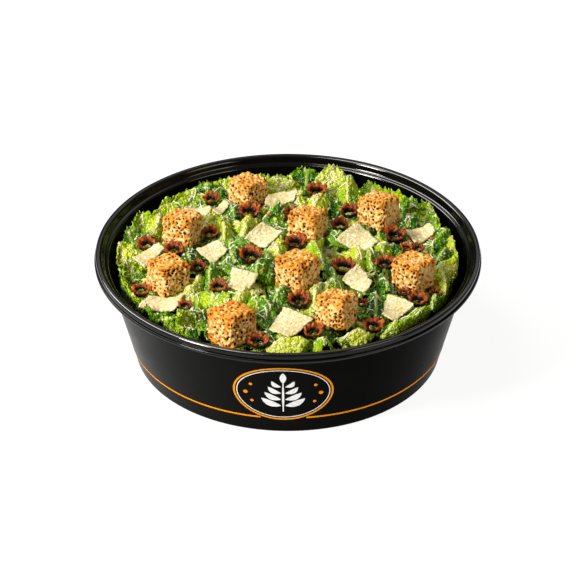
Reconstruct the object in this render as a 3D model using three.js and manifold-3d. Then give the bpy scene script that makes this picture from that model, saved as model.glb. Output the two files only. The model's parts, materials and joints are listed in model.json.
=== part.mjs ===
// A caesar salad in its round take-away bowl, in millimetres, +Z up, front towards -Y.
// The bowl is one thin shell. The romaine is one heap: a mound with leaves and grated strands fused on.
// Croutons, cheese shavings and bacon curls are separate pieces that lie on the mound.
import * as THREE from "three";
import { mergeVertices } from "three/addons/utils/BufferGeometryUtils.js";
import Module from "manifold-3d";

const wasm = await Module();
wasm.setup();
const { Manifold, Mesh: SolidMesh } = wasm;

// ---- Driving dimensions ----
const RIM_R = 92.5; // outer edge of the lip
const BOWL_H = 55; // table to the top of the lip
const WALL_TOP_R = 85.6; // outside of the wall, just under the lip
const WALL_TOP_Z = 46;
const FOOT_R = 73; // outer edge of the foot that stands on the table
const WALL_FOOT_R = 74.3; // outside of the wall, just above the foot
const WALL_FOOT_Z = 3;
const WALL = 1.1; // thickness of the moulded wall
const FLOOR_Z = 2.2; // inside floor
const BOWL_SIDES = 48;

const GAP = 0.35; // air between pieces that touch
const HEAP_TOP = 56; // height of the leaf bed at the middle
const HEAP_DROP = 7.5; // how far the bed falls from the middle to HEAP_R
const HEAP_R = 80;
const HEAP_EDGE_R = 78.4; // above this height the heap leaves a ring of free room along the wall
const HEAP_EDGE_Z = 47.5;
const BED_DEPTH = 1.8; // the mound's own surface lies this far under the bed
const LEAF_TRIES = 68; // places tried for a leaf, spread evenly over the mound
const MOST_HIDDEN = 0.18; // share of a leaf that toppings may cut away
const GOLDEN_ANGLE = Math.PI * (3 - Math.sqrt(5)); // turn from one place to the next
const LEAF_SHEET = 0.9; // thickness of a leaf
const STRAND_COUNT = 10; // grated strands on the leaves
const CROUTON_EDGE = 15;
const CROUTON_ROUND = 1.5; // how far its edges are rounded
const CRUMB = 0.7; // unevenness of a crouton's face
const SHAVING_SHEET = 0.9;

// ---- Pieces on the heap: x and y from the bowl's axis, turn about +Z in degrees ----
// lean tips the top of a crouton away from the front, and sink is how deep it sits in the leaf bed.
const CROUTONS = [
  { x: -19.5, y: 51, turn: 45, lean: 9, size: 0.98, sink: 5.2 },
  { x: 9.5, y: 16.5, turn: 63, lean: 13, size: 1.01, sink: 5 },
  { x: 44, y: 29, turn: 52, lean: 13, size: 1.0, sink: 3.1 },
  { x: -50.5, y: 14, turn: 62, lean: 9, size: 0.98, sink: 4.1 },
  { x: -56.5, y: -25, turn: 37, lean: 5, size: 1.02, sink: 4.8 },
  { x: 4.5, y: -29.5, turn: 48, lean: 6, size: 1.04, sink: 2.7 },
  { x: 59, y: -24, turn: 53, lean: 4, size: 1.04, sink: 4 },
  { x: -26, y: -66, turn: 43, lean: 8, size: 1.1, sink: 4.8 },
  { x: 22.5, y: -56.5, turn: 59, lean: 15, size: 1.01, sink: 3.7 },
];

// length runs along the turn, taper narrows the far end, skew shears it, lean tips the sheet towards the front.
const SHAVINGS = [
  { x: -3.5, y: 47.5, turn: 15, length: 15.5, width: 8, taper: 0.95, skew: 0.25, lean: 16 },
  { x: -11.5, y: 11.5, turn: -34, length: 12, width: 12, taper: 1.1, skew: 0.1, lean: 20 },
  { x: 34.5, y: 8, turn: -38, length: 16.5, width: 16.5, taper: 0.55, skew: 0.05, lean: 18 },
  { x: 64.5, y: 19, turn: 33, length: 13, width: 10, taper: 0.65, skew: 0.05, lean: 16 },
  { x: 33.5, y: -28, turn: -49, length: 13.5, width: 13.5, taper: 0.6, skew: -0.2, lean: 16 },
  { x: -44, y: 37, turn: 175, length: 12.5, width: 7, taper: 0.7, skew: -0.05, lean: 8 },
  { x: -32.5, y: 38, turn: 56, length: 9.5, width: 5.5, taper: 0.8, skew: 0.15, lean: 8 },
  { x: -35.5, y: -2.5, turn: 40, length: 12, width: 12, taper: 0.65, skew: 0, lean: 20 },
  { x: -66, y: -1, turn: 47, length: 16.5, width: 10, taper: 0.5, skew: 0.05, lean: 12 },
  { x: -59, y: -41.5, turn: 177, length: 17, width: 10.5, taper: 0.75, skew: 0.25, lean: 12 },
  { x: -22, y: -29, turn: -112, length: 12.5, width: 13, taper: 0.7, skew: -0.05, lean: 20 },
  { x: 0.5, y: -62.5, turn: -126, length: 15.5, width: 15.5, taper: 0.65, skew: -0.15, lean: 20 },
  { x: 49.5, y: -48, turn: -117, length: 13.5, width: 13.5, taper: 0.5, skew: 0.05, lean: 14 },
];

// across is the curl's outer diameter.
const CURLS = [
  { x: -18.5, y: 33.5, across: 11.5 },
  { x: 14, y: 56.5, across: 10 },
  { x: 1.5, y: 34.5, across: 6 },
  { x: 4, y: 4.5, across: 10.5 },
  { x: -17.5, y: -8, across: 11.5 },
  { x: 30, y: 34.5, across: 9.5 },
  { x: 25, y: 20.5, across: 9.5 },
  { x: 51.5, y: 13.5, across: 11.5 },
  { x: 57, y: 3.5, across: 6 },
  { x: 62.5, y: 4, across: 6 },
  { x: 46.5, y: -13, across: 10 },
  { x: 26.5, y: -17.5, across: 12 },
  { x: -37.5, y: 49.5, across: 9 },
  { x: -67.5, y: 9, across: 10 },
  { x: -54.5, y: 0.5, across: 10 },
  { x: -37.5, y: 14, across: 9 },
  { x: -42.5, y: -16, across: 8 },
  { x: -69, y: -28.5, across: 9.5 },
  { x: -32.5, y: -34, across: 9.5 },
  { x: -14, y: -73, across: 10 },
  { x: 5, y: -46, across: 11 },
  { x: 11.5, y: -67.5, across: 10 },
  { x: 39.5, y: -61, across: 10.5 },
  { x: 34.5, y: -46, across: 5.5 },
  { x: 54.5, y: -34.5, across: 5.5 },
  { x: 61, y: -39, across: 10 },
  { x: 69.5, y: -30.5, across: 5.5 },
  { x: -48, y: -46, across: 7 },
];

// ---- Looks ----
const MATERIALS = {
  bowl: new THREE.MeshStandardMaterial({ color: 0x141414, roughness: 0.35, metalness: 0 }),
  romaine: new THREE.MeshStandardMaterial({ color: 0x6fa62b, roughness: 0.45, metalness: 0 }),
  crouton: new THREE.MeshStandardMaterial({ color: 0xe0a050, roughness: 0.8, metalness: 0 }),
  cheese: new THREE.MeshStandardMaterial({ color: 0xf0e3b8, roughness: 0.6, metalness: 0 }),
  bacon: new THREE.MeshStandardMaterial({ color: 0x7c2a14, roughness: 0.5, metalness: 0 }),
};

// ---- Small helpers ----
const radians = THREE.MathUtils.degToRad;
const lerp = THREE.MathUtils.lerp;

// A seeded stream of draws from 0 to 1, so that every run gives the same heap.
function drawsFrom(seed) {
  let state = seed >>> 0;
  return () => {
    state = (Math.imul(1664525, state) + 1013904223) >>> 0;
    return state / 4294967296;
  };
}

// Height of the leaf bed at a distance from the bowl's axis.
function bedHeight(r) {
  return HEAP_TOP - HEAP_DROP * (r / HEAP_R) ** 4;
}

function toSolid(geometry) {
  const bare = new THREE.BufferGeometry();
  bare.setAttribute("position", geometry.getAttribute("position"));
  if (geometry.index) bare.setIndex(geometry.index);
  const merged = mergeVertices(bare, 1e-4);
  return new Manifold(
    new SolidMesh({
      numProp: 3,
      vertProperties: merged.attributes.position.array,
      triVerts: new Uint32Array(merged.index.array),
    }),
  );
}

function toGeometry(solid) {
  const mesh = solid.getMesh();
  const geometry = new THREE.BufferGeometry();
  geometry.setAttribute("position", new THREE.BufferAttribute(mesh.vertProperties, 3));
  geometry.setIndex(new THREE.BufferAttribute(mesh.triVerts, 1));
  geometry.computeVertexNormals();
  return geometry;
}

// The box round a piece, grown by the air gap.
function grownBox(geometry) {
  geometry.computeBoundingBox();
  const box = geometry.boundingBox.expandByScalar(GAP);
  const size = box.getSize(new THREE.Vector3());
  const centre = box.getCenter(new THREE.Vector3());
  return new THREE.BoxGeometry(size.x, size.y, size.z).translate(centre.x, centre.y, centre.z);
}

// The eight-sided upright drum round a piece, grown by the air gap.
function grownDrum(geometry) {
  const position = geometry.getAttribute("position");
  let reach = 0;
  let height = 0;
  for (let i = 0; i < position.count; i++) {
    reach = Math.max(reach, Math.hypot(position.getX(i), position.getY(i)));
    height = Math.max(height, Math.abs(position.getZ(i)));
  }
  const radius = (reach + GAP) / Math.cos(Math.PI / 8);
  return new THREE.CylinderGeometry(radius, radius, 2 * (height + GAP), 8).rotateX(Math.PI / 2);
}

// A turned body from [radius, height] pairs that start and end on the axis, its axis along +Z.
function turned(profile, sides) {
  const points = profile.map(([r, z]) => new THREE.Vector2(r, z));
  return new THREE.LatheGeometry(points, sides).rotateX(Math.PI / 2);
}

// A thin closed sheet over a grid: place(u, v) gives its middle surface for u from 0 to 1 and v from -1 to 1.
// Both faces are split into triangles alike.
function sheetSolid(place, along, across, thickness) {
  const points = [];
  const step = 1e-3;
  for (const side of [1, -1]) {
    for (let i = 0; i <= along; i++) {
      for (let j = 0; j <= across; j++) {
        const u = i / along;
        const v = (2 * j) / across - 1;
        const middle = place(u, v);
        const du = place(u + step, v).sub(middle);
        const dv = place(u, v + step).sub(middle);
        const normal = du.cross(dv).normalize();
        points.push(middle.addScaledVector(normal, (side * thickness) / 2));
      }
    }
  }
  const row = across + 1;
  const face = row * (along + 1);
  const at = (i, j, side) => side * face + i * row + j;
  const index = [];
  const quad = (a, b, c, d) => index.push(a, b, c, a, c, d);
  for (let i = 0; i < along; i++) {
    for (let j = 0; j < across; j++) {
      const corners = (side) => [at(i, j, side), at(i + 1, j, side), at(i + 1, j + 1, side), at(i, j + 1, side)];
      const [a, b, c, d] = corners(0);
      const [e, f, g, h] = corners(1);
      index.push(a, b, c, a, c, d, e, g, f, e, h, g);
    }
    quad(at(i, 0, 0), at(i, 0, 1), at(i + 1, 0, 1), at(i + 1, 0, 0));
    quad(at(i, across, 0), at(i + 1, across, 0), at(i + 1, across, 1), at(i, across, 1));
  }
  for (let j = 0; j < across; j++) {
    quad(at(0, j, 0), at(0, j + 1, 0), at(0, j + 1, 1), at(0, j, 1));
    quad(at(along, j, 0), at(along, j, 1), at(along, j + 1, 1), at(along, j + 1, 0));
  }
  const geometry = new THREE.BufferGeometry().setFromPoints(points);
  geometry.setIndex(index);
  return geometry;
}

// ---- Bowl ----
// Underside, foot, wall, bead and groove under the lip, its land, the lid seat, and the inside down to the floor.
function bowlGeometry() {
  const profile = [
    [0, 1],
    [68, 1],
    [69.5, 0],
    [FOOT_R, 0],
    [WALL_FOOT_R - 0.5, 0.8],
    [WALL_FOOT_R, WALL_FOOT_Z],
    [WALL_TOP_R, WALL_TOP_Z],
    [WALL_TOP_R + 1.2, BOWL_H - 7.2],
    [RIM_R - 1.2, BOWL_H - 5.5],
    [RIM_R - 0.2, BOWL_H - 4.9],
    [RIM_R, BOWL_H - 4.1],
    [RIM_R - 0.3, BOWL_H - 3.3],
    [RIM_R - 1.3, BOWL_H - 2.6],
    [RIM_R - 1, BOWL_H - 1],
    [RIM_R - 1.3, BOWL_H - 0.3],
    [RIM_R - 1.9, BOWL_H],
    [RIM_R - 4.8, BOWL_H],
    [RIM_R - 5.1, BOWL_H - 1],
    [RIM_R - 6.4, BOWL_H - 1.3],
    [RIM_R - 6.8, BOWL_H - 2.6],
    [WALL_TOP_R - WALL, WALL_TOP_Z],
    [WALL_FOOT_R - WALL, WALL_FOOT_Z + 1],
    [WALL_FOOT_R - WALL - 1.6, FLOOR_Z],
    [0, FLOOR_Z],
  ];
  return turned(profile, BOWL_SIDES);
}

// Radius of the bowl's inside at a height.
function insideRadius(z) {
  const share = (z - WALL_FOOT_Z - 1) / (WALL_TOP_Z - WALL_FOOT_Z - 1);
  return lerp(WALL_FOOT_R - WALL, WALL_TOP_R - WALL, share);
}

// The heap stays inside this body: clear of the wall, with a ring of free room below the lip.
function roomSolid() {
  const clear = (z) => insideRadius(z) - GAP - 0.15;
  const profile = [
    [0, FLOOR_Z + GAP],
    [clear(FLOOR_Z + 2) - 1.2, FLOOR_Z + GAP],
    [clear(WALL_FOOT_Z + 2), WALL_FOOT_Z + 2],
    [clear(HEAP_EDGE_Z - 4), HEAP_EDGE_Z - 4],
    [HEAP_EDGE_R, HEAP_EDGE_Z],
    [HEAP_EDGE_R, BOWL_H + 1],
    [HEAP_EDGE_R - 5, BOWL_H + 12],
    [0, BOWL_H + 12],
  ];
  return toSolid(turned(profile, 40));
}

// ---- Romaine ----
// The mound: a low dome with a rounded shoulder, lumpy all over.
function moundSolid() {
  const draw = drawsFrom(11);
  const sides = 28;
  const profile = [[0, FLOOR_Z + GAP]];
  profile.push([insideRadius(FLOOR_Z + 2) - 2.6, FLOOR_Z + GAP]);
  profile.push([insideRadius(40) - 0.8, 40]);
  profile.push([HEAP_EDGE_R + 2, HEAP_EDGE_Z - 3]);
  for (const r of [76, 65, 52, 36, 18]) profile.push([r, bedHeight(r) - BED_DEPTH]);
  profile.push([0, bedHeight(0) - BED_DEPTH]);
  const geometry = turned(profile, sides);
  const position = geometry.getAttribute("position");
  const lumps = Array.from({ length: sides * profile.length }, () => 1.5 * (draw() - 0.5));
  for (let i = 0; i < position.count; i++) {
    const column = Math.floor(i / profile.length) % sides;
    const ring = i % profile.length;
    const onTop = ring >= 4 && ring < profile.length - 1;
    if (onTop) position.setZ(i, position.getZ(i) + lumps[column * profile.length + ring]);
  }
  return toSolid(geometry);
}

// The numbers that shape one romaine piece, drawn in a fixed order.
function leafRule(index, draw) {
  const r = 76 * Math.sqrt((index + 0.5) / LEAF_TRIES);
  const angle = index * GOLDEN_ANGLE + 0.5 * (draw() - 0.5);
  return {
    x: r * Math.cos(angle),
    y: r * Math.sin(angle),
    r,
    heading: 2 * Math.PI * draw(),
    length: lerp(17, 24, draw()),
    width: lerp(14, 20, draw()),
    rise: radians(lerp(32, 62, draw())),
    droop: radians(lerp(-28, 6, draw())),
    fold: lerp(-0.55, 0.8, draw()),
    ruffle: lerp(0.9, 1.9, draw()),
    waves: lerp(1.4, 2.4, draw()),
    phase: 2 * Math.PI * draw(),
  };
}

// A leaf rises out of the mound along an arc and droops at its tip; its sides fold about the midrib and ruffle.
function leafPlace(leaf) {
  const ahead = new THREE.Vector3(Math.cos(leaf.heading), Math.sin(leaf.heading), 0);
  const aside = new THREE.Vector3(-ahead.y, ahead.x, 0);
  const base = new THREE.Vector3(leaf.x, leaf.y, bedHeight(leaf.r) - BED_DEPTH - 3.2);
  return (u, v) => {
    const long = u * (1 - 0.22 * v * v);
    const angle = lerp(leaf.rise, leaf.droop, long);
    const bend = leaf.droop - leaf.rise;
    const run = (leaf.length * (Math.sin(angle) - Math.sin(leaf.rise))) / bend;
    const climb = (leaf.length * (Math.cos(leaf.rise) - Math.cos(angle))) / bend;
    const half = (leaf.width / 2) * (0.62 + 0.38 * Math.sin(Math.PI * Math.min(1, 0.25 + 0.7 * u)));
    const edge = v * v;
    const lift = -leaf.fold * edge * half * 0.55;
    const wave = leaf.ruffle * edge * Math.sin(leaf.waves * Math.PI * 2 * u + leaf.phase + v);
    const out = lift + wave;
    return base
      .clone()
      .addScaledVector(ahead, run - leaf.length * 0.32 - out * Math.sin(angle))
      .addScaledVector(aside, v * half)
      .add(new THREE.Vector3(0, 0, climb + out * Math.cos(angle)));
  };
}

// Grated strands: short four-sided strips that lie half sunk in the mound.
function strandSolid(x, y, draw) {
  const heading = 2 * Math.PI * draw();
  const length = lerp(6, 9, draw());
  const bow = lerp(-1.2, 1.2, draw());
  const z = bedHeight(Math.hypot(x, y)) - BED_DEPTH + 0.5;
  const points = [-1, 0, 1].map((t) => {
    const side = bow * (1 - t * t);
    return new THREE.Vector3(
      x + (length / 2) * t * Math.cos(heading) - side * Math.sin(heading),
      y + (length / 2) * t * Math.sin(heading) + side * Math.cos(heading),
      z + 0.5 * (1 - t * t),
    );
  });
  const path = new THREE.CatmullRomCurve3(points);
  const section = new THREE.Shape();
  section.moveTo(-0.7, -0.5).lineTo(0.7, -0.5).lineTo(0.7, 0.5).lineTo(-0.7, 0.5).closePath();
  return toSolid(new THREE.ExtrudeGeometry(section, { steps: 2, bevelEnabled: false, extrudePath: path }));
}

// The one body of a fused heap: sealed hollows are filled and loose scraps dropped.
function mainBody(solid) {
  const bodies = solid.decompose();
  return bodies.reduce((best, body) => (body.volume() > best.volume() ? body : best));
}

// Leaves are tried one after another over the whole mound, and one that a topping would cut in two is skipped.
function leafSolids(toppings) {
  const draw = drawsFrom(2027);
  const leaves = [];
  for (let i = 0; i < LEAF_TRIES; i++) {
    const leaf = toSolid(sheetSolid(leafPlace(leafRule(i, draw)), 3, 3, LEAF_SHEET));
    const hidden = leaf.intersect(toppings).volume() / leaf.volume();
    if (hidden < MOST_HIDDEN) leaves.push(leaf);
  }
  return leaves;
}

function strandSolids() {
  const draw = drawsFrom(77);
  const strands = [];
  for (let i = 0; i < STRAND_COUNT; i++) {
    const r = 70 * Math.sqrt((i + 0.5) / STRAND_COUNT);
    const angle = i * GOLDEN_ANGLE + 1;
    strands.push(strandSolid(r * Math.cos(angle), r * Math.sin(angle), draw));
  }
  return strands;
}

function romaineSolid(clearances) {
  const toppings = Manifold.union(clearances);
  const leaves = leafSolids(toppings);
  const heap = Manifold.union([moundSolid(), ...leaves, ...strandSolids()]);
  return mainBody(heap.intersect(roomSolid()).subtract(toppings));
}

// ---- Croutons ----
// A cube with rounded edges and a rough, crumbly face.
function croutonGeometry(edge, seed) {
  const draw = drawsFrom(seed);
  const half = edge / 2;
  const cuts = [-1, -0.72, 0.72, 1];
  const box = new THREE.BoxGeometry(2, 2, 2, 3, 3, 3);
  const bare = new THREE.BufferGeometry();
  bare.setAttribute("position", box.getAttribute("position"));
  bare.setIndex(box.index);
  const geometry = mergeVertices(bare, 1e-4);
  const position = geometry.getAttribute("position");
  const point = new THREE.Vector3();
  const core = new THREE.Vector3();
  const inner = new THREE.Vector3(1, 1, 1).multiplyScalar(half - CROUTON_ROUND);
  for (let i = 0; i < position.count; i++) {
    point.fromBufferAttribute(position, i);
    for (const axis of ["x", "y", "z"]) {
      point[axis] = half * cuts[Math.round((point[axis] + 1) * 1.5)];
    }
    core.copy(point).clamp(inner.clone().negate(), inner);
    point.sub(core).normalize().multiplyScalar(CROUTON_ROUND + CRUMB * (draw() - 0.5));
    point.add(core);
    position.setXYZ(i, point.x, point.y, point.z);
  }
  return geometry;
}

// A crouton, and a plain box that clears the heap round it.
function croutonAt({ x, y, turn, lean, size, sink }, seed) {
  const edge = CROUTON_EDGE * size;
  const seat = bedHeight(Math.hypot(x, y)) - sink + edge / 2;
  const placed = (geometry) =>
    geometry
      .rotateZ(radians(turn))
      .rotateX(radians(-lean))
      .translate(x, y, seat);
  const room = edge + CRUMB + 2 * GAP;
  const clearance = placed(new THREE.BoxGeometry(room, room, room));
  return { geometry: placed(croutonGeometry(edge, seed)), clearance: toSolid(clearance) };
}

// ---- Cheese shavings ----
// A thin four-sided sheet with torn edges, curled along its length.
function shavingGeometry({ length, width, taper, skew }, seed) {
  const draw = drawsFrom(seed);
  const along = 4;
  const across = 3;
  const tears = Array.from({ length: 2 * (along + across + 2) }, () => draw() - 0.5);
  const curl = lerp(0.6, 2, draw());
  const tear = (k) => 1.1 * tears[k % tears.length];
  const place = (u, v) => {
    const t = 2 * u - 1;
    const half = (width / 2) * lerp(1, taper, u);
    const endTear = Math.abs(t) * tear(Math.round((v + 1) * 1.5));
    const sideTear = Math.abs(v) * tear(5 + Math.round(u * along) + (v > 0 ? along + 1 : 0));
    return new THREE.Vector3(
      t * (length / 2 + endTear) + skew * length * v * 0.5,
      v * (half + sideTear),
      curl * t * t - 0.25 * curl * v * v,
    );
  };
  return sheetSolid(place, along, across, SHAVING_SHEET);
}

function shavingAt(shaving, seed) {
  const { x, y, turn, lean } = shaving;
  const lift = bedHeight(Math.hypot(x, y)) - BED_DEPTH + 1.5;
  const placed = (geometry) =>
    geometry
      .rotateZ(radians(turn))
      .rotateX(radians(lean))
      .translate(x, y, lift);
  return {
    geometry: placed(shavingGeometry(shaving, seed)),
    clearance: toSolid(placed(grownBox(shavingGeometry(shaving, seed)))),
  };
}

// ---- Bacon curls ----
// A crisp strip curled into a thin-walled, scalloped ring that flares at the top.
function curlGeometry(across, seed) {
  const draw = drawsFrom(seed);
  const around = 9;
  const ringRadius = 0.32 * across;
  const flare = 0.3;
  const section = [[-0.065, -0.12], [0.065, -0.12], [0.075, 0.2], [-0.055, 0.2]]; // [out, up] as shares of across
  const points = [];
  for (let i = 0; i < around; i++) {
    const angle = (2 * Math.PI * i) / around;
    const middle = ringRadius * lerp(0.85, 1.15, draw());
    const height = lerp(0.75, 1.3, draw());
    for (const [out, up] of section) {
      const z = up * across * height;
      const r = middle + out * across + flare * z;
      points.push(new THREE.Vector3(r * Math.cos(angle), r * Math.sin(angle), z));
    }
  }
  const sides = section.length;
  const at = (i, j) => (i % around) * sides + (j % sides);
  const index = [];
  for (let i = 0; i < around; i++) {
    for (let j = 0; j < sides; j++) {
      const [a, b, c, d] = [at(i, j), at(i + 1, j), at(i + 1, j + 1), at(i, j + 1)];
      index.push(a, b, c, a, c, d);
    }
  }
  const geometry = new THREE.BufferGeometry().setFromPoints(points);
  geometry.setIndex(index);
  return geometry;
}

function curlAt({ x, y, across }, seed) {
  const draw = drawsFrom(seed + 500);
  const tilt = radians(lerp(4, 14, draw()));
  const turn = 2 * Math.PI * draw();
  const lift = bedHeight(Math.hypot(x, y)) - BED_DEPTH + 1.2;
  const placed = (geometry) => geometry.rotateZ(turn).rotateX(tilt).translate(x, y, lift);
  return {
    geometry: placed(curlGeometry(across, seed)),
    clearance: toSolid(placed(grownDrum(curlGeometry(across, seed)))),
  };
}

// ---- Assembly ----
const salad = new THREE.Group();
salad.name = "caesar_salad";

function addNode(name, geometry, material) {
  const mesh = new THREE.Mesh(geometry, material);
  mesh.name = name;
  salad.add(mesh);
}

const clearances = [];
function addToppings(name, list, makeAt, material, firstSeed) {
  list.forEach((item, index) => {
    const { geometry, clearance } = makeAt(item, firstSeed + index);
    addNode(`${name}_${index + 1}`, geometry, material);
    clearances.push(clearance);
  });
}

addNode("bowl", bowlGeometry(), MATERIALS.bowl);
addToppings("crouton", CROUTONS, croutonAt, MATERIALS.crouton, 100);
addToppings("shaving", SHAVINGS, shavingAt, MATERIALS.cheese, 200);
addToppings("bacon", CURLS, curlAt, MATERIALS.bacon, 300);
addNode("romaine", toGeometry(romaineSolid(clearances)), MATERIALS.romaine);

export default salad;
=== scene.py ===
# %% [markdown]
# # A caesar salad in its round take-away bowl
#
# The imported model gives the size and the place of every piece: a black bowl, a heap of romaine,
# croutons, shavings of hard cheese and curls of bacon. This lesson dresses them. The bowl becomes a
# smooth turned shell with a printed stripe and mark, the heap becomes some two hundred crinkled leaves
# over a dark core, and each topping is carved finer from a copy of its own solid, so it keeps its place
# and its form.

import math

import bmesh
import bpy
import numpy as np
from mathutils import Euler, Matrix, Vector
from mathutils.bvhtree import BVHTree
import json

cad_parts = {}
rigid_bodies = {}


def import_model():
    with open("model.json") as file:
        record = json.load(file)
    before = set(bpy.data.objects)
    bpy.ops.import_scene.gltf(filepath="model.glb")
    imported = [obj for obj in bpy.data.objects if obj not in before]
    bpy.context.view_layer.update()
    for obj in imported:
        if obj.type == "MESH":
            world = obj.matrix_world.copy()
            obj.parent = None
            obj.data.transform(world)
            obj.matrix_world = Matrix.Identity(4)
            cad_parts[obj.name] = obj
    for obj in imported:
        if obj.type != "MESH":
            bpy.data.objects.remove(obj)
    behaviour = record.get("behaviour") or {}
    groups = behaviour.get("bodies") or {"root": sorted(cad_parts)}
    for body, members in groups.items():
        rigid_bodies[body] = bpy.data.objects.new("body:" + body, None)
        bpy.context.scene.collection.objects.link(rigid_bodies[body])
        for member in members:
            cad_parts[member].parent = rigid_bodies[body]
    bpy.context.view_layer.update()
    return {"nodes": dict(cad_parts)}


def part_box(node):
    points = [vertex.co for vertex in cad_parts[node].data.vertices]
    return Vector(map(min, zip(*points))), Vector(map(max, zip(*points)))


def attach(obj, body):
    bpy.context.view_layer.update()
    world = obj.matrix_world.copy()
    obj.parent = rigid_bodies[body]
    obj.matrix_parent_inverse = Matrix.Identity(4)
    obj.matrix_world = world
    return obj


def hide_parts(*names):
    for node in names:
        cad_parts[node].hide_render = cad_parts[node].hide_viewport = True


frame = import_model()
NODES = list(frame["nodes"])
print(len(NODES), "nodes in the frame")

# %% [markdown]
# ## Sizes
#
# Lengths in this lesson are in millimetres, as a kitchen-ware maker would give them, and are turned into
# metres when a mesh is made. The lip's radius and the bowl's height come from the frame. The bed is the
# mean surface of the leaves: a shallow dome that falls away towards the wall.

# %% Sizes of the bowl and the heap
MM = 0.001
RIM_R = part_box("bowl")[1][0] / MM
BOWL_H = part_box("bowl")[1][2] / MM
WALL_TOP_R, WALL_TOP_Z = 85.6, 46.0
WALL_FOOT_R, WALL_FOOT_Z = 74.3, 3.0
FOOT_R = 73.0
WALL = 1.1
FLOOR_Z = 2.2
HEAP_TOP, HEAP_DROP, HEAP_R = 56.0, 7.5, 80.0


def bed_height(r):
    """Height of the leaf bed at a distance from the bowl's axis."""
    return HEAP_TOP - HEAP_DROP * (r / HEAP_R) ** 4


print(f"bowl {2 * RIM_R:.0f} mm across and {BOWL_H:.0f} mm high")

# %% [markdown]
# ## Small tools
#
# A few helpers keep the later cells short. `add` makes a node and wires its inputs in one line, for
# shaders and for Geometry Nodes alike. `mesh_piece` turns arrays into an object. `shaped` runs an
# object's modifiers and keeps the result as its plain mesh, because the piece has to be plain before it
# is given to the frame.


# %% Helpers for node trees and meshes
def linear(red, green, blue):
    """A colour given as 0 to 255 screen values, as Blender's linear colour."""
    return tuple((c / 255) ** 2.2 for c in (red, green, blue)) + (1.0,)


def add(tree, kind, inputs=None, **settings):
    """A new node. Each input is a value to set or another node's output to link."""
    made = tree.nodes.new(kind)
    for key, value in settings.items():
        setattr(made, key, value)
    for key, value in (inputs or {}).items():
        if isinstance(value, bpy.types.NodeSocket):
            tree.links.new(value, made.inputs[key])
        else:
            made.inputs[key].default_value = value
    return made


def maths(tree, operation, a, b=0.0, c=0.0):
    return add(tree, "ShaderNodeMath", {0: a, 1: b, 2: c}, operation=operation).outputs[0]


def vectors(tree, operation, a, b=(0, 0, 0), c=(0, 0, 0), scale=1.0):
    inputs = {0: a, 1: b, 2: c, 3: scale}
    return add(tree, "ShaderNodeVectorMath", inputs, operation=operation).outputs[0]


def ramp(tree, value, low, high, to_low=0.0, to_high=1.0):
    """value from low to high eased into to_low to to_high."""
    inputs = {"Value": value, "From Min": low, "From Max": high, "To Min": to_low, "To Max": to_high}
    return add(tree, "ShaderNodeMapRange", inputs, interpolation_type="SMOOTHSTEP").outputs["Result"]


def mix_colour(tree, share, a, b):
    made = add(tree, "ShaderNodeMix", data_type="RGBA")
    for socket, value in zip((made.inputs[0], made.inputs[6], made.inputs[7]), (share, a, b)):
        if isinstance(value, bpy.types.NodeSocket):
            tree.links.new(value, socket)
        else:
            socket.default_value = value
    return made.outputs[2]


def noise(tree, vector, scale, detail=3.0, rough=0.55, output=0):
    inputs = {"Vector": vector, "Scale": scale, "Detail": detail, "Roughness": rough}
    return add(tree, "ShaderNodeTexNoise", inputs).outputs[output]


def cells(tree, vector, scale, feature="F1", dimensions="3D"):
    made = add(tree, "ShaderNodeTexVoronoi", voronoi_dimensions=dimensions, feature=feature)
    tree.links.new(vector, made.inputs["Vector"])
    made.inputs["Scale"].default_value = scale
    return made.outputs["Distance"]


def mesh_piece(name, points, faces, smooth=True):
    """An object from points in millimetres and faces."""
    mesh = bpy.data.meshes.new(name)
    places = (np.asarray(points, dtype=float) * MM).tolist()
    mesh.from_pydata(places, [], faces.tolist() if isinstance(faces, np.ndarray) else faces)
    mesh.polygons.foreach_set("use_smooth", [smooth] * len(mesh.polygons))
    mesh.update()
    piece = bpy.data.objects.new(name, mesh)
    bpy.context.collection.objects.link(piece)
    return piece


def shaped(piece):
    """Runs the piece's modifiers and keeps the result as its plain mesh."""
    graph = bpy.context.evaluated_depsgraph_get()
    mesh = bpy.data.meshes.new_from_object(piece.evaluated_get(graph), depsgraph=graph)
    piece.modifiers.clear()
    piece.data = mesh


def even_copy(node, suffix, voxel):
    """A merged copy of a CAD node's mesh, to be remeshed in even steps of voxel millimetres."""
    mesh = frame["nodes"][node].data.copy()
    shell = bmesh.new()
    shell.from_mesh(mesh)
    bmesh.ops.remove_doubles(shell, verts=shell.verts, dist=1e-6)
    shell.to_mesh(mesh)
    shell.free()
    mesh.materials.clear()
    mesh.name = node + suffix
    piece = bpy.data.objects.new(node + suffix, mesh)
    bpy.context.collection.objects.link(piece)
    even = piece.modifiers.new("even", "REMESH")
    even.mode = "VOXEL"
    even.voxel_size = voxel * MM
    even.use_smooth_shade = True
    return piece


def stand_for(piece, slot, *nodes):
    """Puts the finished piece on the one body and hides the CAD nodes it replaces. The slot is not used."""
    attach(piece, "root")
    if nodes:
        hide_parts(*nodes)


def new_finish(name, **constants):
    """A material with a Principled shader. The constants are set on the shader's own sockets."""
    material = bpy.data.materials.new(name)
    material.use_nodes = True
    tree = material.node_tree
    tree.nodes.clear()
    shader = add(tree, "ShaderNodeBsdfPrincipled")
    output = add(tree, "ShaderNodeOutputMaterial", {"Surface": shader.outputs[0]})
    output.is_active_output = True
    for key, value in constants.items():
        shader.inputs[key.replace("_", " ")].default_value = value
    return material, tree, shader


def object_place(tree):
    return add(tree, "ShaderNodeTexCoord").outputs["Object"]


def attribute(tree, name):
    return add(tree, "ShaderNodeAttribute", attribute_name=name).outputs["Fac"]


def paint(tree, shader, colour):
    tree.links.new(colour, shader.inputs["Base Color"])


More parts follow.
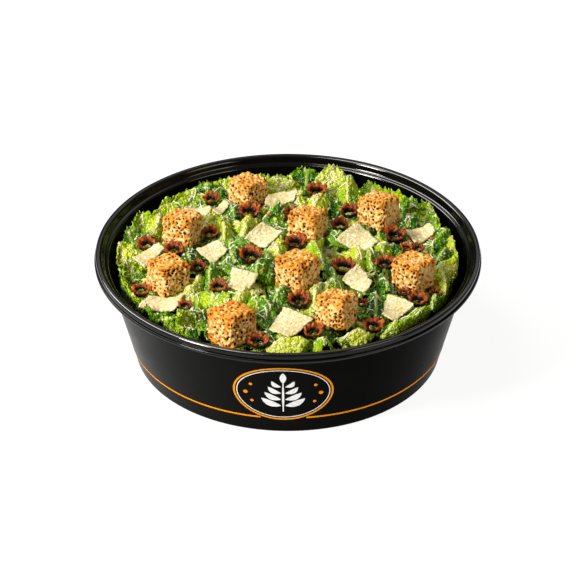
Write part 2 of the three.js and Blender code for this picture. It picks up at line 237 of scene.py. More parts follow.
def mottled(name, scale, detail, first, second, edges=None, **constants):
    """A finish that drifts between two colours, more sharply where edges are given."""
    material, tree, shader = new_finish(name, **constants)
    share = noise(tree, object_place(tree), scale, detail)
    paint(tree, shader, mix_colour(tree, ramp(tree, share, *edges) if edges else share, first, second))
    return material


def bump(tree, shader, height, depth_mm, strength=1.0):
    """Raises the surface by height, which runs from 0 to 1, times depth_mm."""
    inputs = {"Height": height, "Distance": depth_mm * MM, "Strength": strength}
    made = add(tree, "ShaderNodeBump", inputs)
    tree.links.new(made.outputs[0], shader.inputs["Normal"])


# %% [markdown]
# ## The view and the light
#
# The camera stands well back with a long lens, a third of the way up from the table, so the round lip
# shows as a wide oval. The light is a studio's, from four soft boxes: a key at the front left, a larger
# and weaker fill at the front right, a long strip above the back left that draws the thin lines along
# the lip, and a faint card behind. The floor is plain white and larger than the view.


# %% Camera, lights and floor
LENS, SENSOR = 206.6, 36
VIEW_LIFT = 32.34  # degrees above the table
VIEW_DISTANCE = 1591
VIEW_AIM = (0.06, 0, 33.13)
FLOOR_HALF = 4000


def place_camera():
    lift = math.radians(VIEW_LIFT)
    aim = Vector([c * MM for c in VIEW_AIM])
    distance = VIEW_DISTANCE * MM
    camera = bpy.data.objects.new("view", bpy.data.cameras.new("view"))
    bpy.context.collection.objects.link(camera)
    camera.data.lens = LENS
    camera.data.sensor_width = SENSOR
    camera.location = aim + Vector((0, -math.cos(lift), math.sin(lift))) * distance
    camera.rotation_euler = Euler((math.pi / 2 - lift, 0, 0))
    bpy.context.scene.camera = camera


def soft_box(name, place, width, height, power, colour=(1, 1, 1), along=(1, 0, 0)):
    """An area light in metres that faces the bowl, with its width running along a direction."""
    data = bpy.data.lights.new(name, "AREA")
    data.shape = "RECTANGLE"
    data.size, data.size_y = width, height
    data.energy = power
    data.color = colour
    light = bpy.data.objects.new(name, data)
    light.location = place
    back = (light.location - Vector((0, 0, 0.05))).normalized()
    side = (Vector(along) - back * back.dot(Vector(along))).normalized()
    light.rotation_euler = Matrix((side, back.cross(side), back)).transposed().to_euler()
    bpy.context.collection.objects.link(light)


def white_floor():
    far = FLOOR_HALF
    corners = [(-far, -far, 0), (far, -far, 0), (far, far, 0), (-far, far, 0)]
    floor = mesh_piece("floor", corners, [(0, 1, 2, 3)], smooth=False)
    material, tree, shader = new_finish("white floor", Roughness=0.9, Specular_IOR_Level=0.0)
    shader.inputs["Base Color"].default_value = (0.16, 0.16, 0.16, 1)
    shader.inputs["Emission Color"].default_value = (1, 1, 1, 1)
    shader.inputs["Emission Strength"].default_value = 0.92
    floor.data.materials.append(material)


def studio():
    """The soft boxes, each by its place, width, height, watts, colour and the way its width runs."""
    soft_box("key", (-0.98, -0.66, 0.82), 0.34, 0.34, 26, (1, 0.96, 0.87))
    soft_box("fill", (0.9, -0.75, 0.7), 0.6, 0.6, 4.2, (1, 0.91, 0.72))
    soft_box("left strip", (-0.56, 0.36, 1.0), 1.2, 0.45, 9, (1, 0.97, 0.92), (-0.54, 0.7, -0.48))
    soft_box("back card", (0, 1.5, 1.3), 2.4, 0.6, 1.0)
    world = bpy.data.worlds.new("studio")
    world.use_nodes = True
    glow = world.node_tree.nodes["Background"].inputs
    glow[0].default_value, glow[1].default_value = (1, 0.93, 0.8, 1), 0.05
    bpy.context.scene.world = world
    bpy.context.scene.view_settings.view_transform = "Standard"


place_camera()
studio()
white_floor()
print("camera, four soft boxes and a white floor")

# %% [markdown]
# ## The bowl
#
# The real bowl is moulded in black plastic, so it is round and even. It could be spun with a modifier,
# but a profile turned in a loop gives full control over the lip: a flat land, a step down where a lid
# would sit, and outside it a groove and a bead. Every corner of the profile is eased into a small arc,
# because a moulded edge is never sharp and its highlight is what shows the shape.


# %% Turn the bowl
def eased(profile, radius, steps=6):
    """The profile with each inner corner replaced by a small curve."""
    points = [np.array(profile[0])]
    for before, corner, after in zip(profile, profile[1:], profile[2:]):
        before, corner, after = map(np.array, (before, corner, after))
        back, ahead = before - corner, after - corner
        cut = min(radius, 0.45 * np.linalg.norm(back), 0.45 * np.linalg.norm(ahead))
        start = corner + back / np.linalg.norm(back) * cut
        end = corner + ahead / np.linalg.norm(ahead) * cut
        for t in np.linspace(0, 1, steps):
            points.append((1 - t) ** 2 * start + 2 * t * (1 - t) * corner + t**2 * end)
    points.append(np.array(profile[-1]))
    return points


def turned(name, profile, sides):
    """A closed round body from [radius, height] points that start and end on the axis."""
    rings = profile[1:-1]
    angles = np.arange(sides) * 2 * math.pi / sides
    points = [(0, 0, profile[0][1])]
    for r, z in rings:
        points += [(r * math.cos(a), r * math.sin(a), z) for a in angles]
    points.append((0, 0, profile[-1][1]))
    last = len(points) - 1
    faces = []
    for s in range(sides):
        t = (s + 1) % sides
        faces.append((0, 1 + t, 1 + s))
        for ring in range(len(rings) - 1):
            a, b = 1 + ring * sides, 1 + (ring + 1) * sides
            faces.append((a + s, a + t, b + t, b + s))
        a = 1 + (len(rings) - 1) * sides
        faces.append((a + s, a + t, last))
    return mesh_piece(name, points, faces)


BOWL_PROFILE = [
    (0, 1),
    (68, 1),
    (69.5, 0),
    (FOOT_R, 0),
    (WALL_FOOT_R - 0.5, 0.8),
    (WALL_FOOT_R, WALL_FOOT_Z),
    (WALL_TOP_R, WALL_TOP_Z),
    (WALL_TOP_R + 1.2, BOWL_H - 7.2),
    (RIM_R - 1.2, BOWL_H - 4.7),
    (RIM_R, BOWL_H - 4.3),
    (RIM_R, BOWL_H - 3.0),
    (RIM_R - 1.1, BOWL_H - 2.8),
    (RIM_R - 0.7, BOWL_H - 2.5),
    (RIM_R - 0.5, BOWL_H),
    (RIM_R - 3.5, BOWL_H),
    (RIM_R - 4.7, BOWL_H - 3.4),
    (RIM_R - 6.6, BOWL_H - 3.6),
    (WALL_TOP_R - WALL, WALL_TOP_Z),
    (WALL_FOOT_R - WALL, WALL_FOOT_Z + 1),
    (WALL_FOOT_R - WALL - 1.6, FLOOR_Z),
    (0, FLOOR_Z),
]
EASE = 1.2  # how far each corner of the profile is cut back
BOWL_SIDES = 224
# Painted shade: the wall reflects less from left to right, so its right side shows darker.
PAINTED_SHADE_FROM, PAINTED_SHADE_TO = -60, 50  # the wall gets duller between these, from left to right
LIP_EDGE_BAND, LIP_TOP_BAND = 2.4, 1.6  # the lip's outer edge and its top, in and down from its corner
LIP_DEPTH = 5.8  # how far down the lip's gloss reaches


def black_plastic(name, shine, rough, waves_mm):
    """Black moulded plastic with the faint waves of a thin wall."""
    material, tree, shader = new_finish(name, IOR=shine)
    drift = noise(tree, object_place(tree), 60, 2)
    paint(tree, shader, mix_colour(tree, drift, (0.0012, 0.0012, 0.0011, 1), (0.003, 0.003, 0.0027, 1)))
    tree.links.new(ramp(tree, drift, 0.3, 0.7, rough, rough * 1.3), shader.inputs["Roughness"])
    bump(tree, shader, drift, waves_mm, 0.3)
    return material, tree, shader


def wall_finish():
    """The satin wall, its reflection turned down towards the right as painted shade."""
    material, tree, shader = black_plastic("satin black wall", 1.12, 0.24, 0.25)
    across = add(tree, "ShaderNodeSeparateXYZ", {0: object_place(tree)}).outputs[0]
    # painted shade: the specular level falls from left to right across the wall
    gloss = ramp(tree, across, PAINTED_SHADE_FROM * MM, PAINTED_SHADE_TO * MM, 0.46, 0.08)
    tree.links.new(gloss, shader.inputs["Specular IOR Level"])
    return material


def lip_finish():
    """The lip, glossier than the wall, with a coat on its upward shoulders that paints highlight lines."""
    material, tree, shader = black_plastic("glossy black lip", 1.3, 0.1, 0.02)
    shader.inputs["Coat Roughness"].default_value = 0.07
    shader.inputs["Coat IOR"].default_value = 2.5
    tree.links.new(attribute(tree, "shoulder"), shader.inputs["Coat Weight"])
    return material


def mark_shoulders(mesh):
    """Stores the coat that paints highlights on the lip: most on its top's outer edge, least on the bead.
    """
    places = np.array([v.co for v in mesh.vertices]) / MM
    up = np.array([v.normal.z for v in mesh.vertices])
    radius = np.hypot(places[:, 0], places[:, 1])
    edge, top = radius > RIM_R - LIP_EDGE_BAND, places[:, 2] > BOWL_H - LIP_TOP_BAND
    # the inner edges get more painted highlight towards the back
    inner = 0.6 * np.clip(places[:, 1] / 40, 0, 1)
    share = np.where(edge, np.where(top, 1.0, 0.1), inner)
    layer = mesh.attributes.new("shoulder", "FLOAT", "POINT")
    layer.data.foreach_set("value", (share * np.clip((up - 0.5) / 0.25, 0, 1)).astype(np.float32))


bowl = turned("bowl_shell", eased(BOWL_PROFILE, EASE), BOWL_SIDES)
mark_shoulders(bowl.data)
bowl.data.materials.append(wall_finish())
bowl.data.materials.append(lip_finish())
for face in bowl.data.polygons:
    face.material_index = int(face.center.z > (BOWL_H - LIP_DEPTH) * MM)
stand_for(bowl, "bowl_plastic", "bowl")
print("bowl:", len(bowl.data.polygons), "faces")

# %% [markdown]
# ## The print on the wall
#
# A thin orange stripe runs round the foot of the wall and stops short of a mark at the front. The mark
# here is a plain one: an oval frame in white and orange round a leafy sprig, with dots beside it. Ink
# has next to no thickness, so each shape is a strip a few hundredths of a millimetre thick. The strips
# are drawn flat and then wrapped on the cone of the wall, so they bend with it.

# %% Wrap flat strips on the wall
PRINT_LIFT, PRINT_THICK = 0.03, 0.06
PRINT_R = 80  # the wall's mean radius, by which the flat print is bent


def on_wall(across, up, lift):
    """The point on the wall's outside, across to the right of the front and up above the table."""
    r = WALL_FOOT_R + (WALL_TOP_R - WALL_FOOT_R) * (up - WALL_FOOT_Z) / (WALL_TOP_Z - WALL_FOOT_Z)
    angle = across / PRINT_R - math.pi / 2
    return ((r + lift) * math.cos(angle), (r + lift) * math.sin(angle), up)


def printed_strips(name, strips, colour):
    """Closed thin strips, each from the flat points of its two edges. A ring meets its own start."""
    points, faces = [], []
    outside = PRINT_LIFT + PRINT_THICK
    for left, right, ring in strips:
        base, count = len(points), len(left)
        for a, b in zip(left, right):
            points += [on_wall(*a, PRINT_LIFT), on_wall(*b, PRINT_LIFT)]
            points += [on_wall(*b, outside), on_wall(*a, outside)]
        for i in range(count if ring else count - 1):
            a, b = base + 4 * i, base + 4 * ((i + 1) % count)
            faces += [(a + k, a + (k + 1) % 4, b + (k + 1) % 4, b + k) for k in range(4)]
        if not ring:
            end = base + 4 * (count - 1)
            faces += [(base + 3, base + 2, base + 1, base), (end, end + 1, end + 2, end + 3)]
    piece = mesh_piece(name, points, faces, smooth=False)
    shell = bmesh.new()
    shell.from_mesh(piece.data)
    bmesh.ops.recalc_face_normals(shell, faces=shell.faces)
    shell.to_mesh(piece.data)
    shell.free()
    piece.data.materials.append(ink(name + " ink", colour))
    stand_for(piece, "print")


def ink(name, colour):
    """Matt ink with the slight mottle of a print on plastic."""
    worn = tuple(0.82 * c for c in colour[:3]) + (1.0,)
    return mottled(name, 900, 2, worn, colour, (0.35, 0.6), Roughness=0.6, Specular_IOR_Level=0.05)


def oval_ring(cx, cy, rx, ry, width, count=96):
    turns = [2 * math.pi * i / count for i in range(count)]
    inner = [(cx + (rx - width) * math.cos(t), cy + (ry - width) * math.sin(t)) for t in turns]
    outer = [(cx + rx * math.cos(t), cy + ry * math.sin(t)) for t in turns]
    return inner, outer, True


def tapered_stroke(start, end, bow, width, count=14, blunt=0.0):
    """A stroke from start to end that bows to one side and is widest in the middle."""
    start, end = np.array(start, float), np.array(end, float)
    along = end - start
    side = np.array((-along[1], along[0])) / np.linalg.norm(along)
    left, right = [], []
    for t in np.linspace(0, 1, count):
        middle = start + along * t + side * bow * 4 * t * (1 - t)
        half = width / 2 * max(blunt, math.sin(math.pi * t) ** 0.75) + 0.02
        left.append(tuple(middle - side * half))
        right.append(tuple(middle + side * half))
    return left, right, False


print(f"the ink's face stands {PRINT_LIFT + PRINT_THICK:.2f} mm off the wall")

# %% Stripe and mark
MARK_X, MARK_Z = -2.2, 26.0
MARK_HALF_W, MARK_HALF_H = 23.5, 17.5
MARK_SCALE = 1.14  # from the sketch of the sprig and the dots to their printed size
STRIPE_Z, STRIPE_W = 9.2, 0.95
STRIPE_GAP = (-13.5, 9.1)  # the stripe stops beside the mark


def stripe():
    lap = 2 * math.pi * PRINT_R
    xs = np.linspace(STRIPE_GAP[1], STRIPE_GAP[0] + lap, 260)
    low = [(x, STRIPE_Z) for x in xs]
    high = [(x, STRIPE_Z + STRIPE_W) for x in xs]
    return low, high, False


def in_mark(across, up):
    """The place on the wall of a point of the sketch, which is drawn from the mark's middle."""
    return MARK_X + MARK_SCALE * across, MARK_Z + MARK_SCALE * up


def sprig():
    """A stem with pairs of leaves that get smaller towards the tip."""
    strokes = [tapered_stroke(in_mark(0, -10.5), in_mark(0, 7), 0, 1.0, blunt=0.5)]
    for pair in range(4):
        foot = 3.7 * pair - 7
        reach = 9.0 - 1.5 * pair
        for side in (-1, 1):
            start, tip = in_mark(side * 0.9, foot), in_mark(side * reach, foot + 4.2 - 0.3 * pair)
            strokes.append(tapered_stroke(start, tip, -side, 3.5 - 0.4 * pair))
    strokes.append(tapered_stroke(in_mark(0, 6.4), in_mark(0, 12.2), 0, 2.9))
    return strokes


def dots():
    """Round dots to either side of the sprig, inside the frame."""
    rings = []
    for side in (-1, 1):
        for step, (across, up) in enumerate([(13.0, 4.8), (15.4, 0), (13.0, -4.8)]):
            radius = 1.05 if step == 1 else 0.8
            rings.append(oval_ring(*in_mark(side * across, up), radius, radius, radius * 0.98, count=20))
    return rings


ORANGE = linear(244, 148, 2)
WHITE = linear(236, 236, 238)
printed_strips("print_stripe", [stripe()], ORANGE)
outer_oval = oval_ring(MARK_X, MARK_Z, MARK_HALF_W, MARK_HALF_H, 0.9)
printed_strips("print_frame", [outer_oval] + dots(), ORANGE)
inner_oval = oval_ring(MARK_X, MARK_Z, MARK_HALF_W - 1.6, MARK_HALF_H - 1.6, 0.45)
printed_strips("print_sprig", [inner_oval] + sprig(), WHITE)
print("stripe, frame and sprig printed on the wall")

# %% [markdown]
# ## Room under the toppings
#
# Real leaves give way under a crouton or a shaving. Here the same is done with a height limit. Rays go
# straight up through the CAD toppings, and where one hits, the leaves stay below that underside. Around
# each topping the limit rises at a slope, steep beside the tall croutons and gentle beside the flat
# pieces, so no leaf hides them.

# %% Measure the height limit over the bowl
GRID_STEP = 0.6
GRID_HALF = 150
HIGH = 90.0


def underside(names):
    """Heights of these nodes' undersides on a square grid over the bowl, and HIGH where there is none."""
    points, faces = [], []
    for name in names:
        mesh = frame["nodes"][name].data
        start = len(points)
        points += [v.co / MM for v in mesh.vertices]
        faces += [[start + i for i in p.vertices] for p in mesh.polygons]
    tree = BVHTree.FromPolygons(points, faces)
    count = 2 * GRID_HALF + 1
    heights = np.full((count, count), HIGH)
    for i in range(count):
        for j in range(count):
            x, y = (i - GRID_HALF) * GRID_STEP, (j - GRID_HALF) * GRID_STEP
            hit = tree.ray_cast(Vector((x, y, 20)), Vector((0, 0, 1)))[0]
            if hit is not None:
                heights[i, j] = hit.z
    return heights


def spread(heights, slope, reach):
    """The limit rises at this slope for reach millimetres round each underside."""
    limit = heights.copy()
    for _ in range(int(reach / GRID_STEP)):
        grown = limit.copy()
        for di in (-1, 0, 1):
            for dj in (-1, 0, 1):
                rise = slope * GRID_STEP * math.hypot(di, dj)
                grown = np.minimum(grown, np.roll(limit, (di, dj), (0, 1)) + rise)
        limit = grown
    return limit


CROUTONS = [n for n in NODES if n.startswith("crouton")]
SHAVINGS = [n for n in NODES if n.startswith("shaving")]
CURLS = [n for n in NODES if n.startswith("bacon")]
ROOM_RULES = ((CROUTONS, 1.5, 4), (SHAVINGS, 0.5, 4), (CURLS, 0.6, 3))  # nodes, slope and reach
LIMIT = np.minimum.reduce([spread(underside(names), *rule) for names, *rule in ROOM_RULES])


def limit_at(x, y):
    """The limit at arrays of places, from the nearest grid points."""
    i = np.clip(np.rint(x / GRID_STEP).astype(int) + GRID_HALF, 0, 2 * GRID_HALF)
    j = np.clip(np.rint(y / GRID_STEP).astype(int) + GRID_HALF, 0, 2 * GRID_HALF)
    return LIMIT[i, j]


print("height limit measured under", len(CROUTONS + SHAVINGS + CURLS), "toppings")

# %% [markdown]
# ## The heap's core
#
# Only the top leaves show. Below them lies a plain dark mound that closes the gaps between the leaves,
# as the shaded leaves further down do in a real bowl. It stays well under the leaf bed.


# %% Make the core
CORE_DEPTH = 9  # how far the core stays under the leaf bed
CORE_SHOULDER = [(80.5, 36), (79, 40)]
CORE_GAP = 0.4  # air under the core
CORE_SIDES = 96


def core_profile():
    bottom = FLOOR_Z + CORE_GAP
    shape = [(0, bottom), (WALL_FOOT_R - WALL - 2.4, bottom)] + CORE_SHOULDER
    shape += [(r, bed_height(r) - CORE_DEPTH) for r in np.linspace(74, 6, 12)]
    return shape + [(0, bed_height(0) - CORE_DEPTH)]


def leaf_shade():
    """Very dark green, as leaves look deep in the heap."""
    material, tree, shader = new_finish("shaded romaine", Roughness=0.6)
    drift = noise(tree, object_place(tree), 220, 3)
    share = ramp(tree, drift, 0.35, 0.65)
    paint(tree, shader, mix_colour(tree, share, (0.006, 0.014, 0.003, 1), (0.02, 0.05, 0.008, 1)))
    bump(tree, shader, drift, 1.2)
    return material


core = turned("romaine_core", core_profile(), CORE_SIDES)
core.data.materials.append(leaf_shade())
stand_for(core, "romaine", "romaine")
print("core:", len(core.data.polygons), "faces")

# %% [markdown]
# ## Romaine leaves
#
# A chopped piece of romaine is a thin sheet. It is creased along its rib like a tent, its side veins run
# off slantwise with the blade swelling between them, and its edge is ruffled. Each piece starts as a
# flat grid whose points are moved by those three rules, then it is turned and set down on the bed. Its
# flat coordinates stay in UV maps, so that veins and dressing follow the leaf. The pieces that show best
# are placed one by one, as a cook tweezes the last ones. The others fill the bed by the golden angle,
# which leaves no rows and no bare spots.

# %% Places of the leaves that show
TENT, FAN, FRILL, FILLER = "tent", "fan", "frill", "filler"

# For each kind: x and y in millimetres from the bowl's axis, the bearing of the tip in degrees (0 right,
# 90 to the back), and whether the piece is creased like a tent, stands like a fan or leans like a frill.
SHOWN_LEAVES = {
    "dark": [
        (-75, 14, 115, FAN), (-40, 58, 95, FRILL), (-27, 38, 100, TENT), (-8, 34, 55, TENT),
        (-27, -4, 100, TENT), (-48, -6, 110, TENT), (-37, -26, 92, TENT), (-14, -17, 78, TENT),
        (-4, -42, 60, TENT), (-8, -55, 110, TENT), (-45, -63, 230, TENT), (-61, -47, 200, TENT),
        (-10, -68, 250, TENT), (69, -37, 75, TENT), (73, -1, 60, TENT), (46, -26, 92, TENT),
        (41, -47, 86, TENT), (20, -20, 280, TENT), (53, 8, 45, TENT), (37, 27, 100, TENT),
        (9, 73, 92, FAN), (60, 48, 60, FRILL), (58, 25, 60, TENT), (72, 15, 40, TENT), (1, 43, 100, TENT),
        (23, 12, 300, TENT),
    ],
    "bright": [
        (-70, 30, 112, FAN), (-57, 45, 98, FRILL), (-48, 53, 102, FRILL), (-31, 62, 98, FRILL),
        (-31, 17, 95, TENT), (-44, -46, 95, TENT), (-36, -45, 70, FAN), (-15, -49, 100, TENT),
        (-53, -56, 200, TENT), (-73, -13, 140, FAN), (-79, -22, 170, FAN), (-72, -34, 200, TENT),
        (14, -72, 290, TENT), (50, -60, 45, TENT), (61, -49, 60, TENT), (74, -25, 95, TENT),
        (39, -9, 95, TENT), (15, -9, 110, TENT), (20, -32, 60, TENT), (44, 3, 100, TENT),
        (29, 53, 90, TENT), (-12, 67, 92, FRILL), (51, 58, 75, FRILL), (67, 38, 55, FAN),
        (80, -4, 40, FAN), (42, 61, 95, FRILL), (-24, -66, 240, TENT), (-27, -34, 70, TENT),
        (-46, -57, 120, FAN), (-80, -15, 178, FAN),
    ],
    "pale": [
        (-63, 30, 80, TENT), (-79, 2, 120, FAN), (-38, 28, 70, TENT), (-20, 23, 75, TENT),
        (-45, -31, 60, TENT), (-21, -42, 60, TENT), (-1, -74, 10, TENT), (31, -69, 30, TENT),
        (79, -11, 70, FAN), (12, -45, 80, TENT), (22, 69, 88, FAN), (-2, 65, 95, FRILL),
        (78, 11, 30, FAN), (14, 44, 75, TENT), (12, 3, 60, TENT), (-6, 3, 100, TENT), (33, -8, 80, TENT),
    ],
}
FILLER_COUNT, FILLER_REACH = 118, 76.5
GOLDEN_ANGLE = math.pi * (3 - math.sqrt(5))
print(sum(map(len, SHOWN_LEAVES.values())), "leaves placed by hand and", FILLER_COUNT, "fillers")

# %% Rules for one leaf
ALONG_CELLS, ACROSS_CELLS = 26, 22
LEAF_SHEET = 0.45  # thickness
VEIN_STEP = 3.9  # from one side vein to the next
SCALLOP_WAVE, TIP_WAVE = 4.2, 6.2  # waves of the outline, along the sides and across the tip
RUFFLE_ALONG, RUFFLE_ACROSS = 4.9, 4.5  # waves of the ruffled edge
UNDER_TOPPINGS = 1.1  # air kept under a topping
LOWEST_LEAF, HIGHEST_LEAF = 34, 61
ROOM_LOW, ROOM_HIGH, ROOM_CHANGE = 80.0, 81.0, 47  # the radii free below and above a height
EASE_AT_WALL = 4  # a leaf starts to bend back this far inside its room
FULL_FRONT, FULL_SIDES = -20, 62  # in front of this y, or beyond this x, the heap is at its fullest
FULL_REACH, SHORT_REACH = (-0.8, 1.0), (-3.2, 0.6)  # added to the room, there and elsewhere
LEAF_FORMS = {
    TENT: {
        "length": (15, 21), "width": (17, 23), "fold": (44, 62), "pitch": (12, 30), "ruffle": (0.7, 1.4),
        "bend": (1.5, 4.5), "lift": (1.6, 3.6), "roll": 16,
    },
    FAN: {
        "length": (16, 20), "width": (18, 25), "fold": (-22, 12), "pitch": (38, 60), "ruffle": (1.0, 1.7),
        "bend": (-1.0, 2.5), "lift": (-2.5, -0.5), "roll": 16,
    },
    FRILL: {
        "length": (14, 18), "width": (18, 25), "fold": (-22, 12), "pitch": (26, 42), "ruffle": (1.1, 1.8),
        "bend": (-1.0, 2.5), "lift": (-3.5, -1.5), "roll": 16,
    },
    FILLER: {
        "length": (17, 25), "width": (16, 24), "fold": (10, 50), "pitch": (5, 38), "ruffle": (0.6, 1.3),
        "bend": (0.5, 4.0), "lift": (-6.5, -3.0), "roll": 26,
    },
}


def leaf_points(rng, x, y, bearing, form):
    """Points of one leaf at a place in the bowl, with its flat, vein and tone coordinates."""
    rule = LEAF_FORMS[form]
    steps = np.linspace(0, 1, ALONG_CELLS + 1), np.linspace(-1, 1, ACROSS_CELLS + 1)
    u, v = np.meshgrid(*steps, indexing="ij")
    length, width = rng.uniform(*rule["length"]), rng.uniform(*rule["width"])
    wave = rng.uniform(0, 2 * math.pi, 8)
    scallop = 1 + 0.055 * np.sin(2 * math.pi * u * length / SCALLOP_WAVE + wave[0])
    scallop += 0.03 * np.sin(33 * u + wave[1])
    half = width / 2 * np.sin(math.pi * (0.13 + 0.72 * u)) ** 0.5 * scallop
    end = 1 - 0.3 * np.abs(v) ** 2.2 + 0.045 * np.sin(2 * math.pi * v * width / TIP_WAVE + wave[2])
    a = (u * end - 0.5) * length
    b = v * half
    fold = math.radians(rng.uniform(*rule["fold"]))
    off_rib = np.sqrt(b**2 + 1.0) - 1.0
    vein = (a - 0.75 * np.abs(b)) / VEIN_STEP + wave[3]
    swell = 0.5 * np.abs(np.sin(math.pi * vein)) ** 0.7 * (1 - np.exp(-np.abs(b) / 1.5))
    edge = np.maximum(np.abs(v) ** 2.5, np.clip((u - 0.5) / 0.5, 0, 1) ** 2.5)
    ruffle = rng.uniform(*rule["ruffle"]) * edge
    c = -off_rib * math.sin(fold) - rng.uniform(*rule["bend"]) * (2 * u - 0.9) ** 2 + swell
    c += ruffle * np.sin(2 * math.pi * (a + 0.35 * b) / RUFFLE_ALONG + wave[4])
    c += 0.7 * ruffle * np.sin(2 * math.pi * (b - 0.2 * a) / RUFFLE_ACROSS + wave[5])
    c += 0.5 * np.sin(0.45 * a + wave[6]) * np.cos(0.5 * b + wave[7])
    local = np.stack([a.ravel(), (b * math.cos(fold)).ravel(), c.ravel()], axis=1)
    pitch = math.radians(rng.uniform(*rule["pitch"]))
    roll = math.radians(rng.uniform(-rule["roll"], rule["roll"]))
    turn = Matrix.Rotation(math.radians(bearing), 3, "Z") @ Matrix.Rotation(-pitch, 3, "Y")
    turn = turn @ Matrix.Rotation(roll, 3, "X")
    points = local @ np.array(turn).T
    points += (x, y, bed_height(math.hypot(x, y)) + rng.uniform(*rule["lift"]))
    flat = np.stack([a.ravel(), b.ravel()], axis=1) / 10 + rng.uniform(-50, 50, 2)
    veins = np.stack([vein.ravel(), np.abs(b).ravel() / 10], axis=1)
    tone = np.stack([np.full(u.size, rng.uniform(0, 1)), edge.ravel()], axis=1)
    return points, {"flat": flat, "veins": veins, "tone": tone}


def settled(points, reach):
    """Points kept below the toppings and clear of the wall, by more or less from leaf to leaf."""
    x, y, z = points.T
    z = np.minimum(z, limit_at(x, y) - UNDER_TOPPINGS)
    r = np.hypot(x, y)
    free = np.where(z > ROOM_CHANGE, ROOM_HIGH, ROOM_LOW) + reach - EASE_AT_WALL
    bent = free + EASE_AT_WALL * np.tanh((r - free) / EASE_AT_WALL)
    inward = np.where(r > free, bent / np.maximum(r, 1), 1)
    return np.stack([x * inward, y * inward, np.clip(z, LOWEST_LEAF, HIGHEST_LEAF)], axis=1)


print(len(LEAF_FORMS), "forms of leaf, each a grid of", ALONG_CELLS, "by", ACROSS_CELLS, "cells")

# %% [markdown]
# The crinkle is the same rule on every leaf: fine veins form a net, and the leaf bulges between them. A
# Voronoi pattern on the flat coordinates gives the net, in Geometry Nodes for the shape and again in the
# material for painted shade, so its dark lines lie exactly in the hollows. A finer net is in the
# material alone. A Solidify modifier then gives the sheet its thickness.


# %% Crinkle the leaves with Geometry Nodes
def new_tree(name, sizes):
    """A Geometry Nodes tree with a geometry in and out, named sizes and a finish."""
    tree = bpy.data.node_groups.new(name, "GeometryNodeTree")
    face = tree.interface
    face.new_socket("Geometry", in_out="INPUT", socket_type="NodeSocketGeometry")
    for label, value in sizes.items():
        kind = "NodeSocketInt" if isinstance(value, int) else "NodeSocketFloat"
        face.new_socket(label, in_out="INPUT", socket_type=kind).default_value = value
    face.new_socket("Finish", in_out="INPUT", socket_type="NodeSocketMaterial")
    face.new_socket("Geometry", in_out="OUTPUT", socket_type="NodeSocketGeometry")
    source = add(tree, "NodeGroupInput")
    return tree, source.outputs


def end_tree(tree, geometry, finish):
    """Realize Instances, Set Material and the way out."""
    real = add(tree, "GeometryNodeRealizeInstances", {0: geometry}).outputs[0]
    done = add(tree, "GeometryNodeSetMaterial", {"Geometry": real, "Material": finish}).outputs[0]
    add(tree, "NodeGroupOutput", {0: done})


def with_tree(piece, tree, finish, **values):
    """Adds the tree to the piece, with inputs set by their sockets' identifiers."""
    modifier = piece.modifiers.new(tree.name, "NODES")
    modifier.node_group = tree
    for item in tree.interface.items_tree:
        if item.item_type != "SOCKET" or item.in_out != "INPUT":
            continue
        if item.name == "Finish":
            modifier[item.identifier] = finish
        elif item.name.replace(" ", "_") in values:
            modifier[item.identifier] = values[item.name.replace(" ", "_")]


def moved(tree, geometry, offset):
    return add(tree, "GeometryNodeSetPosition", {"Geometry": geometry, "Offset": offset}).outputs[0]


def push(tree, geometry, height):
    """Moves every point along its normal by height, in metres."""
    normal = add(tree, "GeometryNodeInputNormal").outputs[0]
    return moved(tree, geometry, vectors(tree, "SCALE", normal, scale=height))


LEAF_MAPS = ("flat", "veins", "tone")
BLISTERS_PER_CM = 3.4
FINE_BLISTERS_PER_CM = 6.6


def crinkle_tree():
    tree, given = new_tree("Crinkle", {"Blister Height": 0.45 * MM, "Wave Height": 1.8 * MM})
    named = add(tree, "GeometryNodeInputNamedAttribute", {"Name": "flat"}, data_type="FLOAT_VECTOR")
    flat = named.outputs[0]
    blister = ramp(tree, cells(tree, flat, BLISTERS_PER_CM, "DISTANCE_TO_EDGE", "2D"), 0.0, 0.35)
    waves = maths(tree, "SUBTRACT", noise(tree, flat, 2.0, 2), 0.5)
    height = maths(tree, "MULTIPLY", blister, given["Blister Height"])
    height = maths(tree, "MULTIPLY_ADD", waves, given["Wave Height"], height)
    end_tree(tree, push(tree, given["Geometry"], height), given["Finish"])
    return tree


CRINKLE = crinkle_tree()
print(len(CRINKLE.nodes), "nodes crinkle a leaf")
